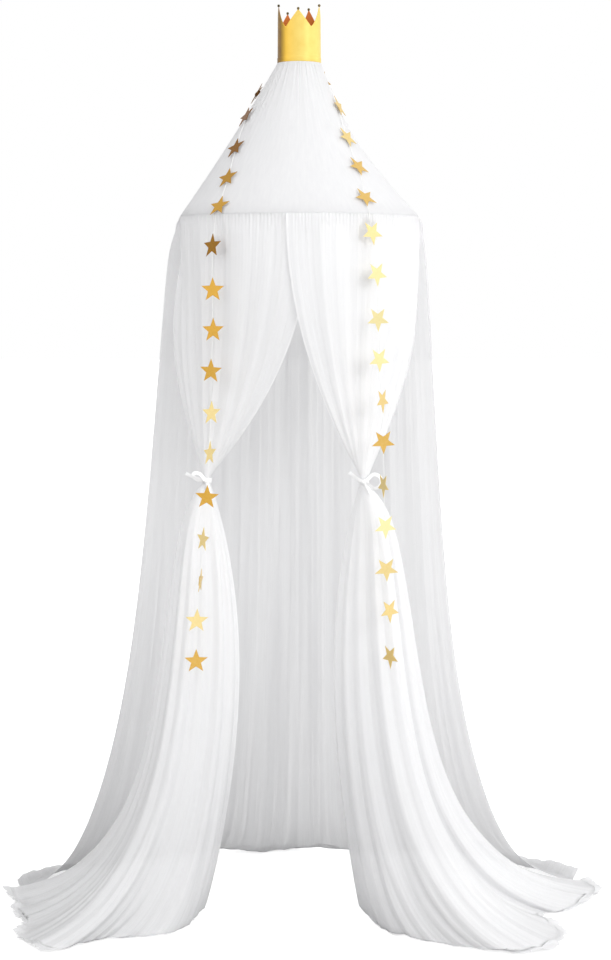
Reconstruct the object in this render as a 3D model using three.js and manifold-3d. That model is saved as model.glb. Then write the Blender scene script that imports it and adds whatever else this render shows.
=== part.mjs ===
// Bed crown canopy: a small gold crown over a pleated fabric cone, a hoop in a sewn sleeve, sheer nets
// that are tied back at the front and run out in two trains, and a star garland laid behind the neck.
// Millimetres, +Z up, front towards -Y. The origin is the inside top of the hanging ring.
import * as THREE from "three";
import { mergeVertices } from "three/addons/utils/BufferGeometryUtils.js";
import Module from "manifold-3d";

const wasm = await Module();
wasm.setup();

// Heights, each from the level named before it
const neckDrop = 82.5; // hanging point to the crown's lower edge
const coneHeight = 385.5; // crown's lower edge to the hoop
const netDrop = 1811; // hoop to the floor
const tieDrop = 651; // hoop to the tied-back waists

// Running clearance between touching pieces, and the depth that joined solids share
const seatGap = 0.3;
const bond = 0.4;

// Hoop: four rods pushed into four connector tubes
const hoopRadius = 294;
const rodRadius = 3;
const rodSides = 8;
const rodSteps = 12;
const hoopParts = 4;
const connectorLength = 44;
const connectorWall = 1.4;
const connectorPlay = 0.6;
const rodEndGap = 4;

// Sewn sleeve that holds the hoop, open towards the inside where the hoop goes in
const sleeveWall = 1.5;
const sleeveLip = 16;

// Neck: wire ring, fabric cap and the cone's collar inside the crown
const neckWireRadius = 2;
const collarHeight = 12;
const clothWall = 2;
const capThickness = 2;
const neckWireLift = 4;

// Crown: a rolled sheet with five points, a folded hem and a ball on each point
const crownBaseRadius = 55.5;
const crownTopRadius = 54.5;
const crownSheet = 1.6;
const crownHemHeight = 13;
const crownHemRelief = 0.7;
const crownValleyHeight = 86;
const crownPointHeight = 137;
const crownBallRadius = 3.4;
const crownColumns = 60;
const crownTurn = -2.5; // degrees, the front point's place
const crownPointTurns = [0, 72, 156, 216, 288]; // degrees from the front point
const crownPointShares = [0.77, 1, 1, 0.8, 1]; // of the full point, the front one first
const crownSpikePower = 1.25; // how far the points' sides draw in

// Hanging ring and the webbing loop that carries it
const ringRadius = 13;
const ringWireRadius = 2;
const webbingWidth = 10;
const webbingThickness = 1.2;
const loopInnerRadius = 3.4;
const loopFootLength = 11;
const bightSides = 7;

// Cone cover: pleats spring at the neck and fade towards the hoop
const coneSag = 20;
const coneSagLean = 14; // the right side hangs further in than the left
const conePleats = 30;
const conePleatDepth = 3.2;
const coneRowShares = [0, 0.06, 0.16, 0.3, 0.5, 0.72, 0.9, 1];

// Nets
const netWall = 3;
const netTopInset = 14; // net's top edge, in from the hoop's centre line
const netTopRuffle = 2;
const foldDepth = 11;
const panelOuterAngle = 94; // degrees from the front, where the panels meet the back net
const panelOverlapAngle = 6; // degrees past the front that each panel reaches
const panelLapDepth = 9; // the right panel lies this far in front of the left one
const panelFolds = 8;
const panelColumns = 31;
const backFolds = 9;
const backColumns = 38;
const backEdgeAngle = 84; // degrees from the front, the back net's own front edges
const backOutset = 14; // back net's top edge, out from the panels' top edge
const trainReach = 840;
const trainRuffle = 7;
const floorCut = 0.5; // flat on the underside of what lies on the floor

// Tied-back waists, from the axis
const waistRadius = 10;
const waistArc = 285; // degrees of the waist that the gathered panel goes round
const waistLeft = new THREE.Vector2(-231, -165);
const waistRight = new THREE.Vector2(160, -195);
const panelBulgeLeft = 52;
const panelBulgeRight = 38;
const panelBulgePower = 3; // how soon the bulge fades from the panel's outer edge
const panelSwingLeft = 78; // below the waist the free edge swings this far towards the middle
const panelSwingRight = 68;

// Ribbons
const ribbonThickness = 1.5;
const ribbonWidth = 13;
const waistNeck = 9; // the gathered cloth runs straight this far above and below the band's middle
const knotRadius = 6.5;
const bowTailWidth = 7;
const bowDepth = 8;

// Garland
const threadRadius = 0.6;
const threadSides = 8;
const threadJoint = 0.8; // gap where a hanging stretch meets the stretch on the cone
const starWidth = 58;
const starInnerShare = 0.42; // of the star's outer radius
const starThickness = 1.2;
const starBoreRadius = 1.05;
const starTubeRadius = 2.3;
const starTubeLength = 8;
const starTubeSides = 6;

// Levels
const neckZ = -neckDrop;
const hoopZ = neckZ - coneHeight;
const floorZ = hoopZ - netDrop;
const tieZ = hoopZ - tieDrop;
const waistTopZ = tieZ + waistNeck;
const waistBottomZ = tieZ - waistNeck;

// Sleeve sizes follow the connectors that it holds
const connectorRadius = rodRadius + connectorPlay + connectorWall;
const sleeveHalf = connectorRadius + seatGap + sleeveWall;
const sleeveRadius = hoopRadius + sleeveHalf;
const netTopZ = hoopZ - sleeveHalf - seatGap;
const netTopRadius = hoopRadius - netTopInset;
const collarTopShare = collarHeight / crownPointHeight;
const crownRadiusAtCollar = THREE.MathUtils.lerp(crownBaseRadius, crownTopRadius, collarTopShare);
const collarRadius = crownRadiusAtCollar - crownSheet - seatGap;
const neckWireZ = neckZ + neckWireLift;
const neckWireRing = collarRadius - clothWall - seatGap - neckWireRadius;
const capZ = neckWireZ + neckWireRadius + seatGap;
const capRadius = collarRadius - clothWall - seatGap;
const coneBaseZ = hoopZ + sleeveHalf + seatGap;
const loopFootZ = capZ + capThickness + seatGap;
const ringPivotZ = -(ringRadius * 2 - ringWireRadius);
const starRadius = starWidth / (2 * Math.sin((2 * Math.PI) / 5));

const rad = THREE.MathUtils.degToRad;
const lerp = THREE.MathUtils.lerp;
const smooth = (t) => THREE.MathUtils.smoothstep(t, 0, 1);

const materials = {
  gold: new THREE.MeshStandardMaterial({ color: 0xe8b93c, roughness: 0.35, metalness: 0.8 }),
  foil: new THREE.MeshStandardMaterial({ color: 0xd9a63a, roughness: 0.3, metalness: 0.85 }),
  cover: new THREE.MeshStandardMaterial({ color: 0xf2f2f4, roughness: 0.9, metalness: 0 }),
  net: new THREE.MeshStandardMaterial({ color: 0xf7f7f8, roughness: 0.95, metalness: 0 }),
  ribbon: new THREE.MeshStandardMaterial({ color: 0xffffff, roughness: 0.6, metalness: 0 }),
  thread: new THREE.MeshStandardMaterial({ color: 0xf4f4f2, roughness: 0.8, metalness: 0 }),
  rod: new THREE.MeshStandardMaterial({ color: 0xe4e2dc, roughness: 0.5, metalness: 0 }),
  steel: new THREE.MeshStandardMaterial({ color: 0xb9bcc0, roughness: 0.25, metalness: 1 }),
};

const canopy = new THREE.Group();

// Adds one named piece to a group.
function addPiece(name, geometry, material, parent = canopy) {
  const piece = new THREE.Mesh(geometry, material);
  piece.name = name;
  parent.add(piece);
  return piece;
}

// Keeps only positions, with shared corners merged.
function bare(geometry) {
  const plain = geometry.clone();
  for (const key of Object.keys(plain.attributes)) {
    if (key !== "position") plain.deleteAttribute(key);
  }
  return mergeVertices(plain, 1e-4);
}

// A closed geometry as a solid that can be joined and cut.
function solidOf(geometry) {
  const plain = bare(geometry);
  return new wasm.Manifold(
    new wasm.Mesh({
      numProp: 3,
      vertProperties: plain.attributes.position.array,
      triVerts: new Uint32Array(plain.index.array),
    }),
  );
}

// A joined or cut solid as a geometry.
function geometryOf(solid) {
  const mesh = solid.getMesh();
  const geometry = new THREE.BufferGeometry();
  geometry.setAttribute("position", new THREE.BufferAttribute(mesh.vertProperties, 3));
  geometry.setIndex(new THREE.BufferAttribute(mesh.triVerts, 1));
  geometry.computeVertexNormals();
  return geometry;
}

function joined(...geometries) {
  return geometryOf(geometries.map(solidOf).reduce((all, next) => all.add(next)));
}

// A closed skin from two layers of rows; each row is a list of points. Rows go down, columns turn
// anticlockwise seen from above, and `ring` closes each row on itself.
function layeredSkin(outer, inner, ring) {
  const rows = outer.length;
  const columns = outer[0].length;
  const positions = [...outer, ...inner].flat().flatMap((p) => [p.x, p.y, p.z]);
  const at = (layer, r, c) => (layer * rows + r) * columns + (c % columns);
  const index = [];
  const quad = (a, b, c, d) => index.push(a, b, c, a, c, d);
  const spans = ring ? columns : columns - 1;
  for (let c = 0; c < spans; c++) {
    for (let r = 0; r < rows - 1; r++) {
      quad(at(0, r, c), at(0, r + 1, c), at(0, r + 1, c + 1), at(0, r, c + 1));
      quad(at(1, r, c), at(1, r, c + 1), at(1, r + 1, c + 1), at(1, r + 1, c));
    }
    quad(at(0, 0, c), at(0, 0, c + 1), at(1, 0, c + 1), at(1, 0, c));
    quad(at(0, rows - 1, c), at(1, rows - 1, c), at(1, rows - 1, c + 1), at(0, rows - 1, c + 1));
  }
  if (!ring) {
    for (let r = 0; r < rows - 1; r++) {
      const end = columns - 1;
      quad(at(0, r, 0), at(1, r, 0), at(1, r + 1, 0), at(0, r + 1, 0));
      quad(at(0, r, end), at(0, r + 1, end), at(1, r + 1, end), at(1, r, end));
    }
  }
  const geometry = new THREE.BufferGeometry();
  geometry.setAttribute("position", new THREE.Float32BufferAttribute(positions, 3));
  geometry.setIndex(index);
  geometry.computeVertexNormals();
  return geometry;
}

// A point on a circle about the axis, with the angle in degrees from the front towards +X.
function around(radius, degrees, z) {
  return new THREE.Vector3(radius * Math.sin(rad(degrees)), -radius * Math.cos(rad(degrees)), z);
}

// A path with its corners exactly where they are given, so that a sweep has one section at each.
class CornerPath extends THREE.Curve {
  constructor(corners) {
    super();
    this.corners = corners;
  }
  getPoint(t, target = new THREE.Vector3()) {
    const steps = this.corners.length - 1;
    const at = Math.min(Math.floor(t * steps + 1e-9), steps - 1);
    return target.lerpVectors(this.corners[at], this.corners[at + 1], t * steps - at);
  }
  getPointAt(t, target) {
    return this.getPoint(t, target);
  }
  getTangentAt(t, target = new THREE.Vector3()) {
    const steps = this.corners.length - 1;
    const at = Math.round(t * steps);
    const before = this.corners[Math.max(at - 1, 0)];
    const after = this.corners[Math.min(at + 1, steps)];
    return target.subVectors(after, before).normalize();
  }
}

// A polygon with `sides` corners as a shape, with the bore cut out where one is given.
function roundShape(radius, sides, bore = 0) {
  const corners = (r) =>
    Array.from({ length: sides }, (_, i) => {
      const turn = (2 * Math.PI * (i + 0.5)) / sides;
      return new THREE.Vector2(r * Math.cos(turn), r * Math.sin(turn));
    });
  const shape = new THREE.Shape(corners(radius));
  if (bore) shape.holes.push(new THREE.Path(corners(bore).reverse()));
  return shape;
}

function swept(shape, corners) {
  return new THREE.ExtrudeGeometry(shape, {
    steps: corners.length - 1,
    extrudePath: new CornerPath(corners),
    bevelEnabled: false,
  });
}

function hoopArc(from, to, steps) {
  return Array.from({ length: steps + 1 }, (_, i) =>
    around(hoopRadius, lerp(from, to, i / steps), hoopZ),
  );
}

// Hoop rods and the tubes that join them
function addHoop() {
  const span = 360 / hoopParts;
  const degreesOf = (length) => THREE.MathUtils.radToDeg(length / hoopRadius);
  const halfGap = degreesOf(rodEndGap) / 2;
  const halfTube = degreesOf(connectorLength) / 2;
  const boreRadius = (rodRadius + connectorPlay) / Math.cos(Math.PI / rodSides);
  for (let i = 0; i < hoopParts; i++) {
    const start = span * (i + 0.5);
    const rod = hoopArc(start + halfGap, start + span - halfGap, rodSteps);
    addPiece(`hoop_rod_${i + 1}`, swept(roundShape(rodRadius, rodSides), rod), materials.rod);
    const tube = hoopArc(start - halfTube, start + halfTube, 4);
    const section = roundShape(connectorRadius, rodSides, boreRadius);
    addPiece(`hoop_connector_${i + 1}`, swept(section, tube), materials.rod);
  }
}

// Sleeve round the hoop, a channel with its mouth to the inside
function addSleeve() {
  const inner = sleeveHalf - sleeveWall;
  const mouth = hoopRadius - sleeveLip;
  const profile = [
    [mouth, sleeveHalf],
    [mouth, inner],
    [hoopRadius + inner, inner],
    [hoopRadius + inner, -inner],
    [mouth, -inner],
    [mouth, -sleeveHalf],
    [sleeveRadius, -sleeveHalf],
    [sleeveRadius, sleeveHalf],
    [mouth, sleeveHalf],
  ].map(([r, z]) => new THREE.Vector2(r, z));
  const sleeve = new THREE.LatheGeometry(profile, 48).rotateX(Math.PI / 2);
  addPiece("hoop_sleeve", outward(sleeve), materials.cover).position.z = hoopZ;
}

// Turns a closed geometry's faces to point out.
function outward(geometry) {
  const plain = bare(geometry);
  if (signedVolume(plain) < 0) {
    const index = plain.index.array;
    for (let i = 0; i < index.length; i += 3) {
      [index[i + 1], index[i + 2]] = [index[i + 2], index[i + 1]];
    }
  }
  plain.computeVertexNormals();
  return plain;
}

function signedVolume(geometry) {
  const position = geometry.attributes.position;
  const index = geometry.index.array;
  const corner = (i) => new THREE.Vector3().fromBufferAttribute(position, index[i]);
  let volume = 0;
  for (let i = 0; i < index.length; i += 3) {
    volume += corner(i).dot(corner(i + 1).cross(corner(i + 2))) / 6;
  }
  return volume;
}

// Wire ring, cap, webbing loop and steel ring at the neck
function addNeck() {
  const wire = new THREE.TorusGeometry(neckWireRing, neckWireRadius, 8, 32);
  addPiece("neck_ring", wire, materials.steel).position.z = neckWireZ;

  const cap = new THREE.CylinderGeometry(capRadius, capRadius, capThickness, 40);
  const capPiece = addPiece("neck_cap", cap.rotateX(Math.PI / 2), materials.cover);
  capPiece.position.z = capZ + capThickness / 2;

  addPiece("hanging_loop", hangingLoop(), materials.ribbon);

  const ring = new THREE.TorusGeometry(ringRadius, ringWireRadius, 8, 24).rotateX(Math.PI / 2);
  addPiece("hanging_ring", ring, materials.steel).position.z = ringPivotZ + ringRadius;
}

// Webbing folded over the ring's wire, with both ends turned out flat on the cap
function hangingLoop() {
  const outer = loopInnerRadius + webbingThickness;
  const arc = (radius, from, to) =>
    Array.from({ length: bightSides + 1 }, (_, i) => {
      const turn = lerp(from, to, i / bightSides);
      return [radius * Math.cos(turn), ringPivotZ + radius * Math.sin(turn)];
    });
  const foot = loopFootZ + webbingThickness;
  const outline = [
    [outer + loopFootLength, loopFootZ],
    [outer + loopFootLength, foot],
    [outer, foot],
    ...arc(outer, 0, Math.PI),
    [-outer, foot],
    [-outer - loopFootLength, foot],
    [-outer - loopFootLength, loopFootZ],
    [-loopInnerRadius, loopFootZ],
    ...arc(loopInnerRadius, Math.PI, 0),
    [loopInnerRadius, loopFootZ],
  ].map(([y, z]) => new THREE.Vector2(y, z));
  const band = new THREE.ExtrudeGeometry(new THREE.Shape(outline), {
    depth: webbingWidth,
    bevelEnabled: false,
  });
  band.translate(0, 0, -webbingWidth / 2);
  // the outline's first axis lies along Y and its second along Z
  band.applyMatrix4(new THREE.Matrix4().set(0, 0, 1, 0, 1, 0, 0, 0, 0, 1, 0, 0, 0, 0, 0, 1));
  return outward(band);
}

// Height of the crown's upper edge at an angle from the front point, with a valley midway between
// two points
function crownEdgeHeight(degrees) {
  const ends = [...crownPointTurns, crownPointTurns[0] + 360];
  const next = ends.findIndex((turn) => turn > degrees);
  const along = (degrees - ends[next - 1]) / (ends[next] - ends[next - 1]);
  const nearest = along < 0.5 ? next - 1 : next % crownPointTurns.length;
  const rise = (crownPointHeight - crownValleyHeight) * crownPointShares[nearest];
  return crownValleyHeight + rise * Math.abs(1 - 2 * along) ** crownSpikePower;
}

function crownRadiusAt(height) {
  return lerp(crownBaseRadius, crownTopRadius, height / crownPointHeight);
}

// Crown: sheet with hem and points, and a ball on each point
function addCrown() {
  const rowsOf = (build) =>
    Array.from({ length: crownColumns }, (_, c) => {
      const degrees = (360 * c) / crownColumns;
      return build(crownEdgeHeight(degrees), crownTurn + degrees);
    });
  const place = (height, inset, degrees) =>
    around(crownRadiusAt(height) - inset, degrees, neckZ + height);
  const relief = crownHemRelief;
  const outerColumns = rowsOf((edge, degrees) => [
    place(edge, relief, degrees),
    place(crownHemHeight, relief, degrees),
    place(crownHemHeight, 0, degrees),
    place(0, 0, degrees),
  ]);
  const innerColumns = rowsOf((edge, degrees) => [
    place(edge, crownSheet, degrees),
    place(crownHemHeight, crownSheet, degrees),
    place(crownHemHeight - relief, crownSheet, degrees),
    place(0, crownSheet, degrees),
  ]);
  const turned = (list) => list[0].map((_, r) => list.map((column) => column[r]));
  const sheet = layeredSkin(turned(outerColumns), turned(innerColumns), true);
  const balls = crownPointShares.map((share, i) => {
    const height = lerp(crownValleyHeight, crownPointHeight, share);
    const ball = new THREE.IcosahedronGeometry(crownBallRadius, 1);
    const centre = place(height, (relief + crownSheet) / 2, crownTurn + crownPointTurns[i]);
    return ball.translate(centre.x, centre.y, centre.z + crownBallRadius * 0.8);
  });
  addPiece("crown", joined(sheet, ...balls), materials.gold);
}

// Cone cover's outer radius and height for a share of the way down and an angle
function conePoint(share, degrees, inset = 0) {
  const side = Math.sin(rad(degrees));
  const sag = (coneSag + coneSagLean * side) * Math.sin(Math.PI * share);
  const start = crownBaseRadius + seatGap;
  const radius = lerp(start, sleeveRadius, share) - sag - inset;
  return around(radius, degrees, lerp(neckZ - seatGap, coneBaseZ, share));
}

function conePleat(share, degrees) {
  const fade = Math.min(share / coneRowShares[1], 1) * (1 - smooth(Math.min(share / 0.8, 1)));
  return conePleatDepth * fade * (0.5 - 0.5 * Math.cos(rad(degrees * conePleats)));
}

function addCone() {
  const columns = conePleats * 2;
  const turns = Array.from({ length: columns }, (_, c) => (360 * c) / columns);
  const collarTop = neckZ + collarHeight;
  const layer = (inset) => [
    turns.map((degrees) => around(collarRadius - inset, degrees, collarTop)),
    turns.map((degrees) => around(collarRadius - inset, degrees, neckZ - seatGap - inset)),
    ...coneRowShares.map((share) =>
      turns.map((degrees) => conePoint(share, degrees, inset + conePleat(share, degrees))),
    ),
  ];
  const outer = layer(0);
  const inner = layer(clothWall);
  // the shoulder under the crown's edge keeps its wall by stepping down
  for (const row of inner.slice(2, 3)) {
    for (const point of row) point.z -= clothWall;
  }
  addPiece("cone_cover", layeredSkin(outer, inner, true), materials.cover);
}

// Hems on the floor as shares of trainReach, from the outer edge to the free edge
const leftHemShares = [
  [-0.965, 0.135],
  [-0.925, 0.035],
  [-0.897, -0.01],
  [-0.902, -0.07],
  [-0.86, -0.16],
  [-0.85, -0.29],
  [-0.74, -0.4],
  [-0.61, -0.32],
  [-0.5, -0.29],
  [-0.4, -0.275],
  [-0.34, -0.17],
  [-0.3, -0.04],
];
const rightHemShares = [
  [0.95, 0.215],
  [0.985, 0.13],
  [0.935, 0.045],
  [0.865, -0.05],
  [0.76, -0.11],
  [0.81, -0.25],
  [0.74, -0.385],
  [0.6, -0.41],
  [0.43, -0.345],
  [0.32, -0.27],
  [0.232, -0.173],
  [0.188, -0.01],
];
const backHemShares = [
  [0.93, 0.29],
  [0.89, 0.36],
  [0.78, 0.43],
  [0.55, 0.5],
  [0.3, 0.53],
  [0, 0.54],
  [-0.25, 0.53],
  [-0.5, 0.47],
  [-0.75, 0.37],
  [-0.89, 0.29],
  [-0.93, 0.21],
];

function hemCurve(shares) {
  return new THREE.SplineCurve(
    shares.map(([x, y]) => new THREE.Vector2(x * trainReach, y * trainReach)),
  );
}

// How far out the cloth has run, as a share of the way to its hem, for a share of its fall
function flareOf(fall, { opening, delay, steady, sweep, sweepPower, spread }) {
  const swept = sweep * fall ** sweepPower + spread * fall ** 30;
  return opening * (1 - Math.exp(-fall / delay)) + steady * fall + swept;
}

const panelFlareShares = {
  opening: 0.09,
  delay: 0.05,
  steady: 0.28,
  sweep: 0.5,
  sweepPower: 6,
  spread: 0.09,
};
const backFlareShares = [
  { opening: 0.045, delay: 0.02, steady: 0.245, sweep: 0.4, sweepPower: 5, spread: 0.25 },
  { opening: 0.07, delay: 0.02, steady: 0.335, sweep: 0.36, sweepPower: 5, spread: 0.18 },
]; // at its right edge and at its left edge

// One front panel. `share` runs from its outer edge to its free edge, `hand` is -1 left and 1 right.
class Panel {
  constructor(hand, waist, bulge, swing, hemShares) {
    this.hand = hand;
    this.bulge = bulge;
    this.swing = swing;
    this.waist = waist;
    this.hem = hemCurve(hemShares);
  }
  angleAt(share) {
    return this.hand * lerp(panelOuterAngle, -panelOverlapAngle, share);
  }
  // plan place where this part of the panel meets the hoop
  hoopPlace(share) {
    const lap = this.hand > 0 ? panelLapDepth * smooth((share - 0.75) / 0.15) : 0;
    const place = around(netTopRadius + lap, this.angleAt(share), 0);
    return new THREE.Vector2(place.x, place.y);
  }
  // plan place in the gathered waist, round an arc that is open at the back
  waistPlace(share) {
    const turn = this.hand * lerp(waistArc / 2, -waistArc / 2, share);
    const place = around(waistRadius, turn, 0);
    return new THREE.Vector2(place.x, place.y).add(this.waist);
  }
  // plan place while the cloth hangs, `z` between the hoop and the floor
  hanging(share, z) {
    if (z > waistTopZ) {
      const fall = (netTopZ - z) / (netTopZ - waistTopZ);
      const draw = fall ** lerp(1.9, 1.8, share);
      const place = this.hoopPlace(share).lerp(this.waistPlace(share), draw);
      const bulge = this.bulge * (1 - share) ** panelBulgePower * Math.sin(Math.PI * fall);
      return place.add(new THREE.Vector2(this.hand * bulge, 0));
    }
    const fall = Math.max(waistBottomZ - z, 0) / (waistBottomZ - floorZ);
    const swing = this.swing * share ** 2 * Math.sin(Math.PI * fall ** 0.8);
    const place = this.towardsHem(share, flareOf(fall, panelFlareShares));
    return place.add(new THREE.Vector2(-this.hand * swing, 0));
  }
  towardsHem(share, reach) {
    return this.waistPlace(share).lerp(this.hem.getPointAt(share), reach);
  }
}

const leftPanel = new Panel(-1, waistLeft, panelBulgeLeft, panelSwingLeft, leftHemShares);
const rightPanel = new Panel(1, waistRight, panelBulgeRight, panelSwingRight, rightHemShares);

// The back net. `share` runs from its right front edge round the back to its left front edge.
class BackNet {
  constructor() {
    this.hem = hemCurve(backHemShares);
  }
  towardsHem(share, reach) {
    const angle = lerp(backEdgeAngle, 360 - backEdgeAngle, share);
    const top = around(netTopRadius + backOutset, angle, 0);
    return new THREE.Vector2(top.x, top.y).lerp(this.hem.getPointAt(share), reach);
  }
  flareAt(share, fall) {
    const [right, left] = backFlareShares;
    return lerp(flareOf(fall, right), flareOf(fall, left), share);
  }
  hanging(share, z) {
    const fall = (netTopZ - z) / (netTopZ - floorZ);
    return this.towardsHem(share, this.flareAt(share, fall));
  }
}

// Rows of a net: heights while it hangs, then shares of the stretch that lies on the floor
const upperRowShares = [0, 0.05, 0.2, 0.4, 0.6, 0.78, 0.91, 1];
const lowerRowShares = [0, 0.06, 0.16, 0.32, 0.5, 0.67, 0.82, 0.93, 1];
const backRowShares = [0, 0.03, 0.09, 0.16, 0.24, 0.36, 0.48, 0.6, 0.71, 0.81, 0.89, 0.95, 1];
const floorRowShares = [0.5, 1];

// Middle of a net as a grid of points, before folds: each with its plan place, level and fold share
function netGrid(net, heights, columns, reverse, foldShare) {
  const shares = Array.from({ length: columns }, (_, c) => {
    const share = c / (columns - 1);
    return reverse ? 1 - share : share;
  });
  const level = floorZ + netWall / 2 - floorCut;
  const rows = heights.map((z) =>
    shares.map((share) => {
      const place = net.hanging(share, z);
      const point = new THREE.Vector3(place.x, place.y, Math.max(z, level));
      return { point, share, fold: foldShare(z) };
    }),
  );
  for (const along of floorRowShares) {
    rows.push(
      shares.map((share) => {
        const place = net.hanging(share, floorZ).lerp(net.hem.getPointAt(share), along);
        return { point: new THREE.Vector3(place.x, place.y, level), share, fold: 0, floor: along };
      }),
    );
  }
  return rows;
}

// Outward direction of a grid at one of its points, from its neighbours
function gridNormal(rows, r, c) {
  const pick = (i, j) => rows[i][j].point;
  const down = pick(Math.min(r + 1, rows.length - 1), c).clone().sub(pick(Math.max(r - 1, 0), c));
  const last = rows[0].length - 1;
  const along = pick(r, Math.min(c + 1, last)).clone().sub(pick(r, Math.max(c - 1, 0)));
  return down.cross(along).normalize();
}

// Closed solid of a net: its grid is folded along its normals, then given its wall
function netSolid(rows, folds) {
  const calm = (share) => smooth(Math.min(share, 1 - share) / 0.08 + 0.15);
  const wave = (share) => calm(share) * Math.sin(2 * Math.PI * folds * share);
  const folded = rows.map((row, r) =>
    row.map((cell, c) => {
      const normal = gridNormal(rows, r, c);
      const offset = cell.fold * wave(cell.share);
      return { ...cell, point: cell.point.clone().addScaledVector(normal, offset) };
    }),
  );
  const skin = (side) =>
    folded.map((row, r) =>
      row.map((cell, c) => {
        const normal = gridNormal(folded, r, c);
        const point = cell.point.clone().addScaledVector(normal, (side * netWall) / 2);
        if (r === 0) point.z = netTopZ;
        if (side < 0 && cell.floor) point.z = floorZ;
        if (side > 0 && cell.floor) {
          point.z += trainRuffle * (1 + wave(cell.share)) * Math.sin(Math.PI * 0.85 * cell.floor) * 0.5;
        }
        point.z = Math.max(point.z, side < 0 ? floorZ : floorZ + netWall / 2);
        return point;
      }),
    );
  return layeredSkin(skin(1), skin(-1), false);
}

function panelFoldShare(z) {
  const fall = (netTopZ - z) / (netTopZ - waistTopZ);
  if (fall <= 1) return lerp(netTopRuffle, foldDepth * 0.6, fall) * smooth((1 - fall) / 0.3);
  const below = (waistBottomZ - z) / (waistBottomZ - floorZ);
  return foldDepth * smooth((below - 0.02) / 0.25) * (1 - smooth((below - 0.8) / 0.2));
}

function backFoldShare(z) {
  const fall = (netTopZ - z) / (netTopZ - floorZ);
  return lerp(netTopRuffle, foldDepth, smooth(fall / 0.5)) * (1 - smooth((fall - 0.85) / 0.15));
}

function addNets() {
  const heights = [
    ...upperRowShares.map((share) => lerp(netTopZ, waistTopZ, share)),
    ...lowerRowShares.map((share) => lerp(waistBottomZ, floorZ, share)),
  ];
  for (const [name, panel] of [
    ["left_front_panel", leftPanel],
    ["right_front_panel", rightPanel],
  ]) {
    const rows = netGrid(panel, heights, panelColumns, panel.hand > 0, panelFoldShare);
    addPiece(name, netSolid(rows, panelFolds), materials.net);
  }
  const backHeights = backRowShares.map((share) => lerp(netTopZ, floorZ, share));
  const back = netGrid(new BackNet(), backHeights, backColumns, false, backFoldShare);
  addPiece("back_net", netSolid(back, backFolds), materials.net);
}

// Ribbon round a waist, and the bow tied in front of it
function ribbonBand() {
  const inner = waistRadius + netWall / 2 + seatGap;
  const outer = inner + ribbonThickness;
  const half = ribbonWidth / 2;
  const profile = [
    [inner, -half],
    [outer, -half * 0.8],
    [outer, half * 0.8],
    [inner, half],
    [inner, -half],
  ].map(([r, z]) => new THREE.Vector2(r, z));
  return outward(new THREE.LatheGeometry(profile, 20).rotateX(Math.PI / 2));
}

// A flat ring of ribbon in the shape of a drop, along +X from the knot
function bowLoop(length, height) {
  const outline = (inset) => {
    const tip = knotRadius * 0.3 + inset;
    const far = length - inset;
    const half = height / 2 - inset;
    const shape = new THREE.Path();
    shape.moveTo(tip, 0);
    shape.bezierCurveTo(far * 0.4, half * 1.2, far, half * 1.3, far, 0);
    shape.bezierCurveTo(far, -half * 1.3, far * 0.4, -half * 1.2, tip, 0);
    return new THREE.Shape(shape.getPoints(5).slice(0, -1));
  };
  const whole = solidOf(uprightExtrusion(outline(0), bowDepth));
  const hollow = uprightExtrusion(outline(ribbonThickness * 1.6), bowDepth * 2);
  return geometryOf(whole.subtract(solidOf(hollow)));
}

// A ribbon end, from the knot along +X, cut on the slant
function bowTail(length) {
  const shape = new THREE.Shape([
    new THREE.Vector2(0, -bowTailWidth * 0.3),
    new THREE.Vector2(length, -bowTailWidth / 2),
    new THREE.Vector2(length - bowTailWidth * 0.5, bowTailWidth / 2),
    new THREE.Vector2(0, bowTailWidth * 0.3),
  ]);
  return uprightExtrusion(shape, ribbonThickness);
}

// Extrudes a shape drawn in X and Z by a depth along Y, about the middle
function uprightExtrusion(shape, depth) {
  const solid = new THREE.ExtrudeGeometry(shape, { depth, bevelEnabled: false, curveSegments: 5 });
  solid.translate(0, 0, -depth / 2).rotateX(Math.PI / 2);
  return solid;
}

// Knot with loops and tails, each at its turn in degrees up from +X
function bow({ loops, tails }) {
  const knot = new THREE.SphereGeometry(knotRadius, 12, 8).scale(1, 0.7, 0.95);
  const turnedBy = (geometry, degrees) => geometry.rotateY(-rad(degrees));
  return joined(
    knot,
    ...loops.map(([degrees, length, height]) => turnedBy(bowLoop(length, height), degrees)),
    ...tails.map(([degrees, length]) => turnedBy(bowTail(length), degrees)),
  );
}

// Loops are [turn, length, height] and tails are [turn, length]
const leftBow = {
  loops: [[153, 36, 13]],
  tails: [
    [160, 54],
    [285, 34],
  ],
};
const rightBow = {
  loops: [[4, 43, 28]],
  tails: [
    [147, 44],
    [300, 34],
  ],
};

function addTies() {
  for (const [side, waist, shapes] of [
    ["left", waistLeft, leftBow],
    ["right", waistRight, rightBow],
  ]) {
    const band = addPiece(`${side}_tie_band`, ribbonBand(), materials.ribbon);
    band.position.set(waist.x, waist.y, tieZ);
    const knot = addPiece(`${side}_tie_bow`, bow(shapes), materials.ribbon);
    const front = waistRadius + netWall / 2 + ribbonThickness + 2 * seatGap + knotRadius * 0.7;
    knot.position.set(waist.x, waist.y - front, tieZ);
  }
}

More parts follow.
